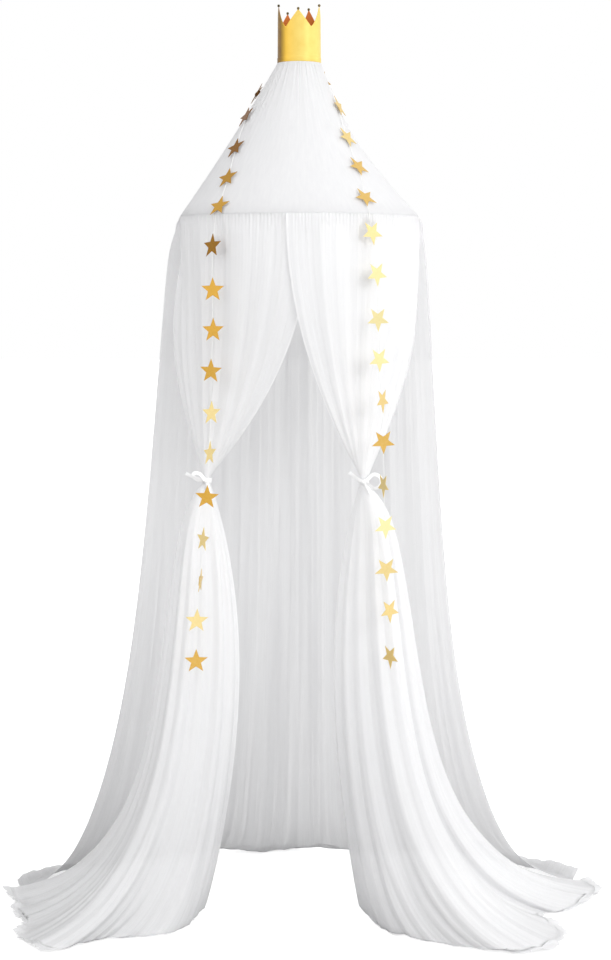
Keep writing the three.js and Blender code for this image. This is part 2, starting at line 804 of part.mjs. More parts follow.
// Garland routes. The hanging stretches are lists of [x, y, z]. In the marks, which go with a route
// corner by corner, a `*` is a star.
const leftRoute = [
  [-201.6, -226.2, -463],
  [-204.4, -241, -508],
  [-207.5, -247.3, -542],
  [-209, -253, -576],
  [-209, -255, -647],
  [-209, -256, -744],
  [-213, -252, -843],
  [-215, -253, -945],
  [-220, -254.5, -1043],
  [-225.5, -256.5, -1151],
  [-233.5, -260, -1255],
  [-244, -265, -1357],
  [-252, -270.5, -1455],
  [-254, -275, -1555],
  [-254.6, -276.2, -1592],
].map((p) => new THREE.Vector3(...p));
const rightRoute = [
  [168.4, -251.8, -463],
  [171, -261.5, -485],
  [174.5, -266.5, -511],
  [179, -271, -543],
  [186, -270.5, -609],
  [191.5, -271, -717],
  [192.5, -272, -814],
  [200, -273, -913],
  [204, -274, -1013],
  [207, -275.5, -1119],
  [209.5, -277.5, -1220],
  [213, -280.5, -1325],
  [220, -284.5, -1427],
  [225, -289, -1540],
  [226, -290, -1576],
].map((p) => new THREE.Vector3(...p));
const hangingStarMarks = "..*.**********.";

// The stretch that lies on the cone: [share of the way down, share of a full turn from the front],
// from the left hoop edge behind the neck to the right one
const coneRouteShares = [
  [0.992, -0.1148],
  [0.968, -0.113],
  [0.88, -0.119],
  [0.782, -0.126],
  [0.68, -0.137],
  [0.58, -0.1505],
  [0.47, -0.168],
  [0.363, -0.1909],
  [0.275, -0.222],
  [0.201, -0.2607],
  [0.148, -0.305],
  [0.112, -0.36],
  [0.092, -0.43],
  [0.084, -0.5],
  [0.09, -0.568],
  [0.108, -0.638],
  [0.145, -0.7],
  [0.215, -0.758],
  [0.297, -0.8076],
  [0.4, -0.84],
  [0.512, -0.8599],
  [0.61, -0.87],
  [0.709, -0.8785],
  [0.81, -0.89],
  [0.916, -0.9019],
  [0.985, -0.906],
];
const coneStarMarks = ".*.*.*.*.*..*..*..*.*.*.*.";
const threadLift = starTubeRadius + seatGap + conePleatDepth * 0.3;

function outwardNormalOnCone(share, degrees) {
  const step = 0.01;
  const down = conePoint(share + step, degrees).sub(conePoint(share - step, degrees));
  const along = conePoint(share, degrees + 1).sub(conePoint(share, degrees - 1));
  return down.cross(along).normalize();
}

// Trims a path's end back by a length, so that the next stretch has room to turn
function trimmed(corners, fromStart, fromEnd) {
  const cut = corners.map((corner) => corner.clone());
  const pull = (end, next, length) => {
    const away = cut[next].clone().sub(cut[end]).normalize();
    cut[end].addScaledVector(away, length);
  };
  if (fromStart) pull(0, 1, fromStart);
  if (fromEnd) pull(cut.length - 1, cut.length - 2, fromEnd);
  return cut;
}

// One star: a flat five-pointed plate with a short tube on its back for the thread
function starGeometry() {
  const outline = Array.from({ length: 10 }, (_, i) => {
    const radius = i % 2 ? starRadius * starInnerShare : starRadius;
    const turn = Math.PI / 2 + (i * Math.PI) / 5;
    return new THREE.Vector2(radius * Math.cos(turn), radius * Math.sin(turn));
  });
  const plate = new THREE.ExtrudeGeometry(new THREE.Shape(outline), {
    depth: starThickness,
    bevelEnabled: false,
  });
  plate.translate(0, 0, starTubeRadius - bond);
  const tube = new THREE.ExtrudeGeometry(roundShape(starTubeRadius, starTubeSides, 0), {
    depth: starTubeLength,
    bevelEnabled: false,
  });
  tube.translate(0, 0, -starTubeLength / 2).rotateX(Math.PI / 2);
  const bore = new THREE.CylinderGeometry(starBoreRadius, starBoreRadius, starTubeLength * 2, starTubeSides);
  return geometryOf(solidOf(plate).add(solidOf(tube)).subtract(solidOf(bore)));
}

const star = starGeometry();

// Places a star on the thread: `up` runs along the thread and `face` is the way its face looks
function addStar(name, at, up, face) {
  const piece = addPiece(name, star, materials.foil);
  const side = up.clone().cross(face).normalize();
  const out = side.clone().cross(up).normalize();
  piece.matrix.makeBasis(side, up, out).setPosition(at);
  piece.matrix.decompose(piece.position, piece.quaternion, piece.scale);
  return piece;
}

function starCornersOf(marks) {
  return [...marks].flatMap((mark, i) => (mark === "*" ? [i] : []));
}

function directionAt(corners, i) {
  return new CornerPath(corners).getTangentAt(i / (corners.length - 1));
}

// The thread runs straight through each star's tube
function throughStars(corners, starCorners) {
  const half = starTubeLength / 2 + 1;
  return corners.flatMap((corner, i) => {
    if (!starCorners.includes(i)) return [corner];
    const along = directionAt(corners, i).multiplyScalar(half);
    return [corner.clone().sub(along), corner.clone().add(along)];
  });
}

const numbered = (n) => String(n).padStart(2, "0");

function addGarland() {
  const section = roundShape(threadRadius, threadSides);
  const gap = threadJoint / 2;
  const coneRoute = coneRouteShares.map(([share, turnShare]) => [share, turnShare * 360]);
  const coneStarCorners = starCornersOf(coneStarMarks);
  const onCone = coneRoute.map(([share, degrees]) => {
    const lift = outwardNormalOnCone(Math.min(share, 0.97), degrees).multiplyScalar(threadLift);
    return conePoint(share, degrees).add(lift);
  });
  const joinedRoute = [leftRoute[0], ...onCone, rightRoute[0]];
  const routeStars = coneStarCorners.map((corner) => corner + 1);
  const top = trimmed(throughStars(joinedRoute, routeStars), gap, gap);
  addPiece("garland_thread_top", swept(section, top), materials.thread);
  // stars on the cone point up on the left and down on the right, as one garland laid over does
  coneStarCorners.forEach((corner, i) => {
    const [share, degrees] = coneRoute[corner];
    const up = directionAt(joinedRoute, corner + 1);
    addStar(`star_cone_${numbered(i + 1)}`, onCone[corner], up, outwardNormalOnCone(share, degrees));
  });
  const corners = starCornersOf(hangingStarMarks);
  for (const [side, route, upwards, turns] of [
    ["left", leftRoute, -1, leftStarTurns],
    ["right", rightRoute, 1, rightStarTurns],
  ]) {
    const hung = trimmed(throughStars(route, corners), gap, 0);
    addPiece(`garland_thread_${side}`, swept(section, hung), materials.thread);
    corners.forEach((corner, i) => {
      const up = directionAt(route, corner).multiplyScalar(upwards);
      const face = new THREE.Vector3(0, -1, 0).applyAxisAngle(new THREE.Vector3(0, 0, 1), rad(turns[i]));
      addStar(`star_${side}_${numbered(i + 1)}`, route[corner], up, face);
    });
  }
}

// How far each hanging star has turned on the thread, in degrees, from facing the front
const leftStarTurns = [-42, 22, 30, -22, 44, 62, 4, -57, 83, 17, 12];
const rightStarTurns = [34, 34, -29, 32, 59, 10, -66, 23, 5, 38, -53];

addCrown();
addNeck();
addCone();
addHoop();
addSleeve();
addNets();
addTies();
addGarland();

export default canopy;
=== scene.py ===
"""Bed crown canopy: gold crown, pleated cone, hoop, sheer nets, ribbon bows and star garland.

Metres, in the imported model's own frame: +Z up, the front towards -Y, and the origin at the inside
top of the hanging ring.
"""
import logging
import math
from dataclasses import dataclass
from enum import Enum
from typing import Sequence

import bmesh
import bpy
import numpy as np
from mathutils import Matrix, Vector


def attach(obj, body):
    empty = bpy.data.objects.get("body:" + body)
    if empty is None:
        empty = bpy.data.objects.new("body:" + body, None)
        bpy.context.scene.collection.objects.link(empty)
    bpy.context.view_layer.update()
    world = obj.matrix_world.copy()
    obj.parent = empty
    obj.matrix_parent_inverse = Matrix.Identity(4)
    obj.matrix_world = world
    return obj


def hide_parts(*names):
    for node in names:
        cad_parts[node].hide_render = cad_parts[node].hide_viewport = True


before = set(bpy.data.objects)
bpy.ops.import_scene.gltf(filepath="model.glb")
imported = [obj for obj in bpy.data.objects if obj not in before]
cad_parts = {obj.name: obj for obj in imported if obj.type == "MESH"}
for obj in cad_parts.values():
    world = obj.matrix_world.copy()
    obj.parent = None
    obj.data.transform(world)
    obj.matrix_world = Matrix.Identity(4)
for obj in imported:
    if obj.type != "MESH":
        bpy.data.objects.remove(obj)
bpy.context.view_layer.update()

log = logging.getLogger("canopy")

Socket = bpy.types.NodeSocket
Mesh = bpy.types.Mesh
Array = np.ndarray
Values = Array | float
Pair = tuple[Array, Array]
Triple = tuple[float, float, float]

# Levels, in metres
NECK_Z = -0.0825
HOOP_Z = -0.468
TIE_Z = -1.119
FLOOR_Z = -2.279
SLEEVE_HALF = 0.0068
SEAT_GAP = 0.0003
NET_TOP_Z = HOOP_Z - SLEEVE_HALF - SEAT_GAP
WAIST_NECK = 0.009
WAIST_LEFT = (-0.231, -0.165)
WAIST_RIGHT = (0.160, -0.195)
WAIST_TOP_Z = TIE_Z + WAIST_NECK
WAIST_BOTTOM_Z = TIE_Z - WAIST_NECK

CONE_BASE_Z = HOOP_Z + SLEEVE_HALF + SEAT_GAP

# Radii, in metres
HOOP_RADIUS = 0.294
SLEEVE_RADIUS = HOOP_RADIUS + SLEEVE_HALF
NET_TOP_RADIUS = 0.280
CROWN_BASE_RADIUS = 0.0555
CROWN_TOP_RADIUS = 0.0545
COLLAR_RADIUS = 0.0535


class Slot(Enum):
    """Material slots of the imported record."""

    CROWN_GOLD = "crown_gold"
    STAR_FOIL = "star_foil"
    COVER_COTTON = "cover_cotton"
    SHEER_NET = "sheer_net"
    RIBBON = "ribbon"
    THREAD = "thread"
    HOOP_PLASTIC = "hoop_plastic"
    STEEL = "steel"


class Hand(Enum):
    """Side of the canopy, seen from the front."""

    LEFT = -1
    RIGHT = 1

    @property
    def word(self) -> str:
        """Plain name of the side."""
        return self.name.lower()


# the wave texture runs through this many radians in each unit of its scaled coordinates
WAVE_RATE = 20


class Nodes:
    """A node tree, built node by node."""

    def __init__(self, tree: bpy.types.NodeTree) -> None:
        """Take the tree to build in."""
        self.nodes = tree.nodes
        self.links = tree.links

    def add(self, kind: str, **settings: object) -> bpy.types.Node:
        """Add one node.

        Args:
            kind: the node's Blender type.
            settings: its properties.

        Returns:
            The new node.
        """
        node = self.nodes.new(kind)
        for key, value in settings.items():
            setattr(node, key, value)
        return node

    def join(self, source: Socket, target: Socket) -> None:
        """Link two sockets."""
        self.links.new(source, target)

    def spread(
        self, value: Socket, low: float, high: float, start: float = 0.0, end: float = 1.0
    ) -> Socket:
        """Map a value from start..end to low..high.

        Args:
            value: the socket to map.
            low: result at start.
            high: result at end.
            start: lowest value read.
            end: highest value read.

        Returns:
            The result socket.
        """
        node = self.add("ShaderNodeMapRange")
        node.inputs["From Min"].default_value = start
        node.inputs["From Max"].default_value = end
        node.inputs["To Min"].default_value = low
        node.inputs["To Max"].default_value = high
        self.join(value, node.inputs["Value"])
        return node.outputs["Result"]

    def math(self, kind: str, first: Socket, second: Socket | float) -> Socket:
        """Combine two values.

        Args:
            kind: the Math node's operation.
            first: first value.
            second: second value, a socket or a number.

        Returns:
            The result socket.
        """
        node = self.add("ShaderNodeMath", operation=kind)
        self.join(first, node.inputs[0])
        if isinstance(second, (int, float)):
            node.inputs[1].default_value = second
        else:
            self.join(second, node.inputs[1])
        return node.outputs["Value"]

    def dot(self, first: Socket) -> bpy.types.Node:
        """A dot product of a vector with the node's second input."""
        node = self.add("ShaderNodeVectorMath", operation="DOT_PRODUCT")
        self.join(first, node.inputs[0])
        return node

    def background_share(self) -> Socket:
        """1 for rays that see the background: camera, glossy and clear transmission rays."""
        path = self.add("ShaderNodeLightPath").outputs
        seen = self.math("MAXIMUM", path["Is Camera Ray"], path["Is Glossy Ray"])
        seen = self.math("MAXIMUM", seen, path["Is Transmission Ray"])
        return self.math("SUBTRACT", seen, path["Is Diffuse Ray"])


class Shader(Nodes):
    """A material's node tree round one Principled shader."""

    def __init__(self, name: str) -> None:
        """Start a material."""
        self.material = bpy.data.materials.new(name)
        self.material.use_nodes = True
        super().__init__(self.material.node_tree)
        self.skin = self.nodes["Principled BSDF"]

    def paint(self, colour: Socket) -> None:
        """Take a socket as the skin's colour."""
        self.join(colour, self.skin.inputs["Base Color"])

    def roughen(self, value: Socket, low: float, high: float) -> None:
        """Take a value, mapped to low..high, as the skin's roughness."""
        self.join(self.spread(value, low, high), self.skin.inputs["Roughness"])

    def set(self, **values: object) -> None:
        """Set the Principled shader's own sockets, with underscores for spaces."""
        for key, value in values.items():
            self.skin.inputs[key.replace("_", " ")].default_value = value

    def scaled(self, place: Socket, scale: Triple) -> Socket:
        """A vector times a factor for each axis."""
        mapping = self.add("ShaderNodeMapping")
        mapping.inputs["Scale"].default_value = scale
        self.join(place, mapping.inputs["Vector"])
        return mapping.outputs["Vector"]

    def cloth_place(self, scale: Triple = (1, 1, 1)) -> Socket:
        """Place on the flat cloth, in metres, scaled."""
        return self.scaled(self.add("ShaderNodeUVMap", uv_map="cloth").outputs["UV"], scale)

    def object_place(self, scale: Triple = (1, 1, 1)) -> Socket:
        """Object coordinates, scaled."""
        return self.scaled(self.add("ShaderNodeTexCoord").outputs["Object"], scale)

    def object_axis(self, axis: str) -> Socket:
        """One of the object coordinates: X, Y or Z."""
        split = self.add("ShaderNodeSeparateXYZ")
        self.join(self.object_place(), split.inputs["Vector"])
        return split.outputs[axis]

    def attribute(self, name: str) -> Socket:
        """A number that the mesh's points carry."""
        return self.add("ShaderNodeAttribute", attribute_name=name).outputs["Fac"]

    def noise(
        self, vector: Socket, scale: float, detail: float = 3.0, rough: float = 0.55
    ) -> Socket:
        """Noise at a vector.

        Args:
            vector: where to read it.
            scale: cycles per unit.
            detail: octaves.
            rough: how strong each next octave is.

        Returns:
            The factor socket.
        """
        node = self.add("ShaderNodeTexNoise")
        node.inputs["Scale"].default_value = scale
        node.inputs["Detail"].default_value = detail
        node.inputs["Roughness"].default_value = rough
        self.join(vector, node.inputs["Vector"])
        return node.outputs["Fac"]

    def blend(
        self,
        share: Socket,
        first: Sequence[float] | Socket,
        second: Sequence[float],
    ) -> Socket:
        """Mix two colours.

        Args:
            share: how much of the second.
            first: red, green and blue, or a colour socket.
            second: red, green and blue.

        Returns:
            The colour socket.
        """
        node = self.add("ShaderNodeMix", data_type="RGBA")
        if isinstance(first, Socket):
            self.join(first, node.inputs[6])
        else:
            node.inputs[6].default_value = (*first, 1)
        node.inputs[7].default_value = (*second, 1)
        self.join(share, node.inputs["Factor"])
        return node.outputs[2]

    def ramp(self, value: Socket, stops: Sequence[tuple[float, Sequence[float]]]) -> Socket:
        """Colour from a value, through stops.

        Args:
            value: the socket to read.
            stops: place and colour of each stop, the first and the last one before the others.

        Returns:
            The colour socket.
        """
        node = self.add("ShaderNodeValToRGB")
        elements = node.color_ramp.elements
        for i, (place, colour) in enumerate(stops):
            element = elements[i] if i < 2 else elements.new(place)
            element.position = place
            element.color = (*colour, 1)
        self.join(value, node.inputs["Fac"])
        return node.outputs["Color"]

    def bands(self, vector: Socket, axis: str, pitch: float, wander: float) -> Socket:
        """Soft bands at a real pitch.

        Args:
            vector: where to read them.
            axis: X, Y or DIAGONAL, the way that they follow each other.
            pitch: from one band to the next, in metres.
            wander: how far they wander.

        Returns:
            The factor socket.
        """
        node = self.add("ShaderNodeTexWave", bands_direction=axis)
        node.inputs["Scale"].default_value = 2 * math.pi / WAVE_RATE / pitch
        node.inputs["Distortion"].default_value = wander
        node.inputs["Detail"].default_value = 1.0
        self.join(vector, node.inputs["Vector"])
        return node.outputs["Fac"]

    def bump(self, height: Socket, strength: float, distance: float) -> None:
        """Give the skin a bump.

        Args:
            height: the height socket.
            strength: from 0 to 1.
            distance: height of the full bump, in metres.
        """
        node = self.add("ShaderNodeBump")
        node.inputs["Strength"].default_value = strength
        node.inputs["Distance"].default_value = distance
        self.join(height, node.inputs["Height"])
        self.join(node.outputs["Normal"], self.skin.inputs["Normal"])

    def show(self, look: Socket) -> None:
        """Take a shader socket as the material's look."""
        self.join(look, self.nodes["Material Output"].inputs["Surface"])

    def glowing(self, colour: Socket, through: float) -> Socket:
        """The skin as thin cloth that glows with the light behind it.

        Args:
            colour: the threads' colour.
            through: share of the light that shines through the threads.

        Returns:
            The shader socket.
        """
        glow = self.add("ShaderNodeBsdfTranslucent")
        self.join(colour, glow.inputs["Color"])
        cloth = self.add("ShaderNodeMixShader")
        cloth.inputs["Fac"].default_value = through
        self.join(self.skin.outputs["BSDF"], cloth.inputs[1])
        self.join(glow.outputs["BSDF"], cloth.inputs[2])
        return cloth.outputs["Shader"]

    def holed(self, cloth: Socket, density: Socket) -> Socket:
        """Cloth with holes that show what lies behind it.

        Args:
            cloth: the cloth's shader socket.
            density: how much of it the threads cover.

        Returns:
            The shader socket.
        """
        holes = self.add("ShaderNodeBsdfTransparent")
        whole = self.add("ShaderNodeMixShader")
        self.join(density, whole.inputs["Fac"])
        self.join(holes.outputs["BSDF"], whole.inputs[1])
        self.join(cloth, whole.inputs[2])
        return whole.outputs["Shader"]


_made: dict[str, bpy.types.Material] = {}


@dataclass(frozen=True)
class Finish:
    """A finish that makes one material and hands it out again."""

    name: str
    slot: Slot

    def material(self) -> bpy.types.Material:
        """The material, made at the first call."""
        if self.name not in _made:
            shader = Shader(self.name)
            self.build(shader)
            _made[self.name] = shader.material
        return _made[self.name]

    def build(self, shader: Shader) -> None:
        """Fill in the nodes."""
        raise NotImplementedError


@dataclass(frozen=True)
class SheerNet(Finish):
    """Fine net: see-through, threads drawn closer in its folds, and a painted shade that greys it
    towards the floor.
    """

    light: Triple = (0.88, 0.88, 0.885)
    dark: Triple = (0.82, 0.82, 0.83)
    thin: float = 0.82
    dense: float = 0.93
    painted_floor_shade: Triple = (0.76, 0.76, 0.77)
    painted_shade_top: float = -0.7
    painted_shade_bottom: float = -2.2
    painted_shade_share: float = 0.65
    through: float = 0.50
    pitch: float = 0.0016
    least_cover: float = 0.12

    def build(self, shader: Shader) -> None:
        """Streaks along the fall, and the net's own cells."""
        streaks = shader.noise(shader.cloth_place((150, 1.4, 1)), 1.0, 5.0, 0.6)
        broad = shader.noise(shader.cloth_place((60, 1.1, 1)), 1.0, 2.0, 0.5)
        cells = shader.add("ShaderNodeTexVoronoi", feature="DISTANCE_TO_EDGE")
        cells.inputs["Scale"].default_value = 1 / self.pitch
        cells.inputs["Randomness"].default_value = 0.25
        shader.join(shader.cloth_place(), cells.inputs["Vector"])
        mesh = shader.spread(cells.outputs["Distance"], 1.0, 0.0, 0.05, 0.3)
        mixed = shader.math("ADD", streaks, broad)
        hem = shader.attribute("hem")
        shade = shader.math("SUBTRACT", shader.spread(mixed, 0, 1, 0.8, 1.2), hem)
        colour = shader.ramp(shade, ((0.0, self.light), (1.0, self.dark)))
        # painted shade: the colour greys towards the floor, standing in for the shade among the
        # layers lying there
        height = shader.object_axis("Z")
        low = shader.spread(height, 0.0, self.painted_shade_share, self.painted_shade_top, self.painted_shade_bottom)
        colour = shader.blend(low, colour, self.painted_floor_shade)
        shader.paint(colour)
        density = shader.spread(mixed, self.thin, self.dense, 0.75, 1.25)
        woven = shader.math("MULTIPLY_ADD", mesh, self.least_cover)
        shader.join(shader.math("MAXIMUM", density, hem), woven.node.inputs[2])
        shader.show(shader.holed(shader.glowing(colour, self.through), woven))
        shader.roughen(mesh, 0.95, 0.75)
        shader.set(Specular_IOR_Level=0.15, Sheen_Weight=0.15, Sheen_Roughness=0.5)
        shader.bump(shader.math("ADD", mesh, streaks), 0.25, 0.0004)


@dataclass(frozen=True)
class CoverCloth(Finish):
    """Cotton in a fine plain weave."""

    light: Triple = (0.84, 0.84, 0.845)
    dark: Triple = (0.80, 0.80, 0.81)
    through: float = 0.4
    pitch: float = 0.0007

    def build(self, shader: Shader) -> None:
        """Warp and weft bumps with slubs."""
        place = shader.cloth_place()
        warp, weft = (shader.bands(place, axis, self.pitch, 0.6) for axis in "XY")
        weave = shader.math("MULTIPLY", warp, weft)
        slubs = shader.noise(shader.cloth_place((90, 22, 1)), 1.0, 4.0, 0.6)
        colour = shader.blend(shader.spread(slubs, 0, 1, 0.3, 0.75), self.light, self.dark)
        shader.paint(colour)
        shader.show(shader.glowing(colour, self.through))
        shader.roughen(weave, 0.95, 0.8)
        shader.set(Specular_IOR_Level=0.2, Sheen_Weight=0.12, Sheen_Roughness=0.5)
        shader.bump(shader.math("ADD", weave, slubs), 0.3, 0.0003)


@dataclass(frozen=True)
class SatinRibbon(Finish):
    """Narrow white ribbon with ribs across it and a soft shine."""

    light: Triple = (0.95, 0.95, 0.955)
    dark: Triple = (0.88, 0.88, 0.89)
    pitch: float = 0.0006

    def build(self, shader: Shader) -> None:
        """Ribs across the ribbon."""
        ribs = shader.bands(shader.cloth_place(), "Y", self.pitch, 0.5)
        cloud = shader.noise(shader.cloth_place((120, 120, 1)), 1.0, 2.0)
        shader.paint(shader.blend(shader.spread(cloud, 0, 1, 0.3, 0.7), self.light, self.dark))
        shader.roughen(ribs, 0.4, 0.6)
        shader.set(Specular_IOR_Level=0.4, Sheen_Weight=0.2)
        shader.bump(ribs, 0.3, 0.0002)


@dataclass(frozen=True)
class GoldLacquer(Finish):
    """Gold lacquered sheet: fine grain, rubbed edges, a painted shade that browns its left side,
    and a painted shade on its inside.
    """

    bright: Triple = (0.80, 0.61, 0.16)
    deep: Triple = (0.66, 0.40, 0.04)
    painted_shade_brown: Triple = (0.17, 0.085, 0.012)
    painted_half_shade: Triple = (0.84, 0.52, 0.06)
    lining: Triple = (0.50, 0.13, 0.01)
    painted_shade_end: float = 0.07
    painted_half_shade_place: float = 0.2
    bright_start: float = 0.5
    metal: float = 0.12

    def build(self, shader: Shader) -> None:
        """Grain, cloudiness, wear, and the painted shade at the left and on the inside."""
        place = shader.object_place()
        grain = shader.noise(place, 1400, 2.0, 0.6)
        cloud = shader.noise(place, 38, 3.0, 0.5)
        skin = shader.add("ShaderNodeNewGeometry").outputs
        edge = shader.spread(skin["Pointiness"], 1.0, 0.0, 0.44, 0.56)
        tone = shader.math("MULTIPLY", shader.spread(cloud, 0.0, 0.6, 0.35, 0.75), edge)
        # painted shade: from brown at the left, over amber, to a pale gold, as if lit from the
        # right
        across = shader.object_axis("X")
        side = shader.spread(across, 0.0, 1.0, -CROWN_BASE_RADIUS, CROWN_BASE_RADIUS)
        stops = (
            (0.0, self.painted_shade_brown),
            (1.0, self.bright),
            (self.painted_shade_end, self.painted_shade_brown),
            (self.painted_half_shade_place, self.painted_half_shade),
            (self.bright_start, self.bright),
        )
        face = shader.ramp(side, stops)
        # painted shade on the inside, where the skin looks towards the axis
        turned = shader.dot(shader.object_place((1, 1, 0)))
        shader.join(skin["Normal"], turned.inputs[1])
        inner = shader.spread(turned.outputs["Value"], 1.0, 0.0, -0.02, 0.0)
        shader.paint(shader.blend(inner, shader.blend(tone, face, self.deep), self.lining))
        shader.roughen(grain, 0.32, 0.5)
        shader.set(Metallic=self.metal, Specular_IOR_Level=0.25)
        shader.set(Coat_Weight=0.04, Coat_Roughness=0.4)
        shader.bump(grain, 0.25, 0.0002)


@dataclass(frozen=True)
class GoldFoil(Finish):
    """Foil on card: fine crinkle, and a painted reflection, a tone from deep to pale gold that
    differs from star to star.
    """

    deep: Triple = (0.17, 0.065, 0.008)
    gold: Triple = (0.58, 0.33, 0.055)
    pale: Triple = (0.80, 0.70, 0.36)
    cloudiness: float = 0.12

    def build(self, shader: Shader) -> None:
        """Crinkle, and the painted reflection tone from the star's own attribute."""
        place = shader.object_place()
        crinkle = shader.noise(place, 260, 3.0, 0.6)
        fleck = shader.noise(place, 2600, 1.0, 0.5)
        cloud = shader.spread(crinkle, -self.cloudiness, self.cloudiness)
        clouded = shader.math("ADD", shader.attribute("tone"), cloud)
        shader.paint(shader.ramp(clouded, ((0.0, self.deep), (1.0, self.pale), (0.5, self.gold))))
        shader.roughen(fleck, 0.28, 0.46)
        shader.set(Metallic=0.4, Specular_IOR_Level=0.1)
        shader.bump(crinkle, 0.3, 0.0003)


@dataclass(frozen=True)
class TwistedThread(Finish):
    """White cotton thread."""

    pitch: float = 0.001

    def build(self, shader: Shader) -> None:
        """Twist as slanted bands."""
        twist = shader.bands(shader.object_place(), "DIAGONAL", self.pitch, 0.3)
        shader.paint(shader.blend(twist, (0.80, 0.80, 0.79), (0.92, 0.92, 0.91)))
        shader.roughen(twist, 0.9, 0.7)
        shader.bump(twist, 0.4, 0.0002)


@dataclass(frozen=True)
class HoopPlastic(Finish):
    """Off-white moulded rod, slightly scuffed."""

    def build(self, shader: Shader) -> None:
        """Scuffs and flow lines."""
        scuff = shader.noise(shader.object_place(), 420, 4.0, 0.65)
        share = shader.spread(scuff, 0, 1, 0.3, 0.7)
        shader.paint(shader.blend(share, (0.80, 0.79, 0.75), (0.70, 0.69, 0.65)))
        shader.roughen(scuff, 0.4, 0.65)
        shader.bump(scuff, 0.15, 0.0002)


@dataclass(frozen=True)
class Steel(Finish):
    """Bright drawn steel wire."""

    def build(self, shader: Shader) -> None:
        """Draw marks along the wire."""
        marks = shader.noise(shader.object_place(), 900, 3.0, 0.6)
        share = shader.spread(marks, 0, 1)
        shader.paint(shader.blend(share, (0.62, 0.63, 0.64), (0.48, 0.49, 0.50)))
        shader.roughen(marks, 0.18, 0.34)
        shader.set(Metallic=1.0)
        shader.bump(marks, 0.1, 0.0001)


# NET and PANEL_NET are one net: painted light and shade make the panels' copy whiter and the back
# net's greyer, for the lit front and the shaded inside
NET = SheerNet("net", Slot.SHEER_NET)
PANEL_NET = SheerNet(
    "panel_net",
    Slot.SHEER_NET,
    light=(0.93, 0.93, 0.935),
    dark=(0.85, 0.85, 0.86),
    painted_shade_top=-1.5,
    painted_shade_share=0.8,
    through=0.24,
)
COVER = CoverCloth("cover", Slot.COVER_COTTON)
RIBBON = SatinRibbon("ribbon", Slot.RIBBON)
CROWN_GOLD = GoldLacquer("crown_gold", Slot.CROWN_GOLD)
BALL_BRONZE = GoldLacquer(
    "ball_bronze",
    Slot.CROWN_GOLD,
    bright=(0.17, 0.12, 0.04),
    deep=(0.06, 0.045, 0.015),
    painted_shade_brown=(0.05, 0.04, 0.012),
    painted_half_shade=(0.10, 0.07, 0.02),
    lining=(0.12, 0.08, 0.02),
)
FOIL = GoldFoil("foil", Slot.STAR_FOIL)
THREAD = TwistedThread("thread", Slot.THREAD)
PLASTIC = HoopPlastic("plastic", Slot.HOOP_PLASTIC)
STEEL = Steel("steel", Slot.STEEL)


def smooth(t: Values) -> Values:
    """Smoothstep of a value that is held between 0 and 1."""
    t = np.clip(t, 0.0, 1.0)
    return t * t * (3 - 2 * t)


def mix(a: Values, b: Values, t: Values) -> Values:
    """Straight mix of two values."""
    return a + (b - a) * t


def unit(ways: Array) -> Array:
    """Directions of length 1."""
    return ways / np.maximum(np.linalg.norm(ways, axis=-1, keepdims=True), 1e-12)


def around(radius: Values, degrees: Values) -> Pair:
    """Plan place at an angle from the front, towards +X.

    Args:
        radius: distance from the axis.
        degrees: angle from the front.

    Returns:
        x and y.
    """
    turn = np.radians(degrees)
    return radius * np.sin(turn), -radius * np.cos(turn)


def ring_at(radius: Values, degrees: Values, z: Values) -> Array:
    """Points at a radius, at angles from the front towards +X, and at a height."""
    return np.stack(np.broadcast_arrays(*around(radius, degrees), z), axis=-1)


def circles(side: Array, up: Array, count: int) -> Array:
    """Directions round each point of a path, from its sides and ups."""
    turn = (np.arange(count) / count * 2 * math.pi)[None, :, None]
    return np.cos(turn) * side[:, None] + np.sin(turn) * up[:, None]


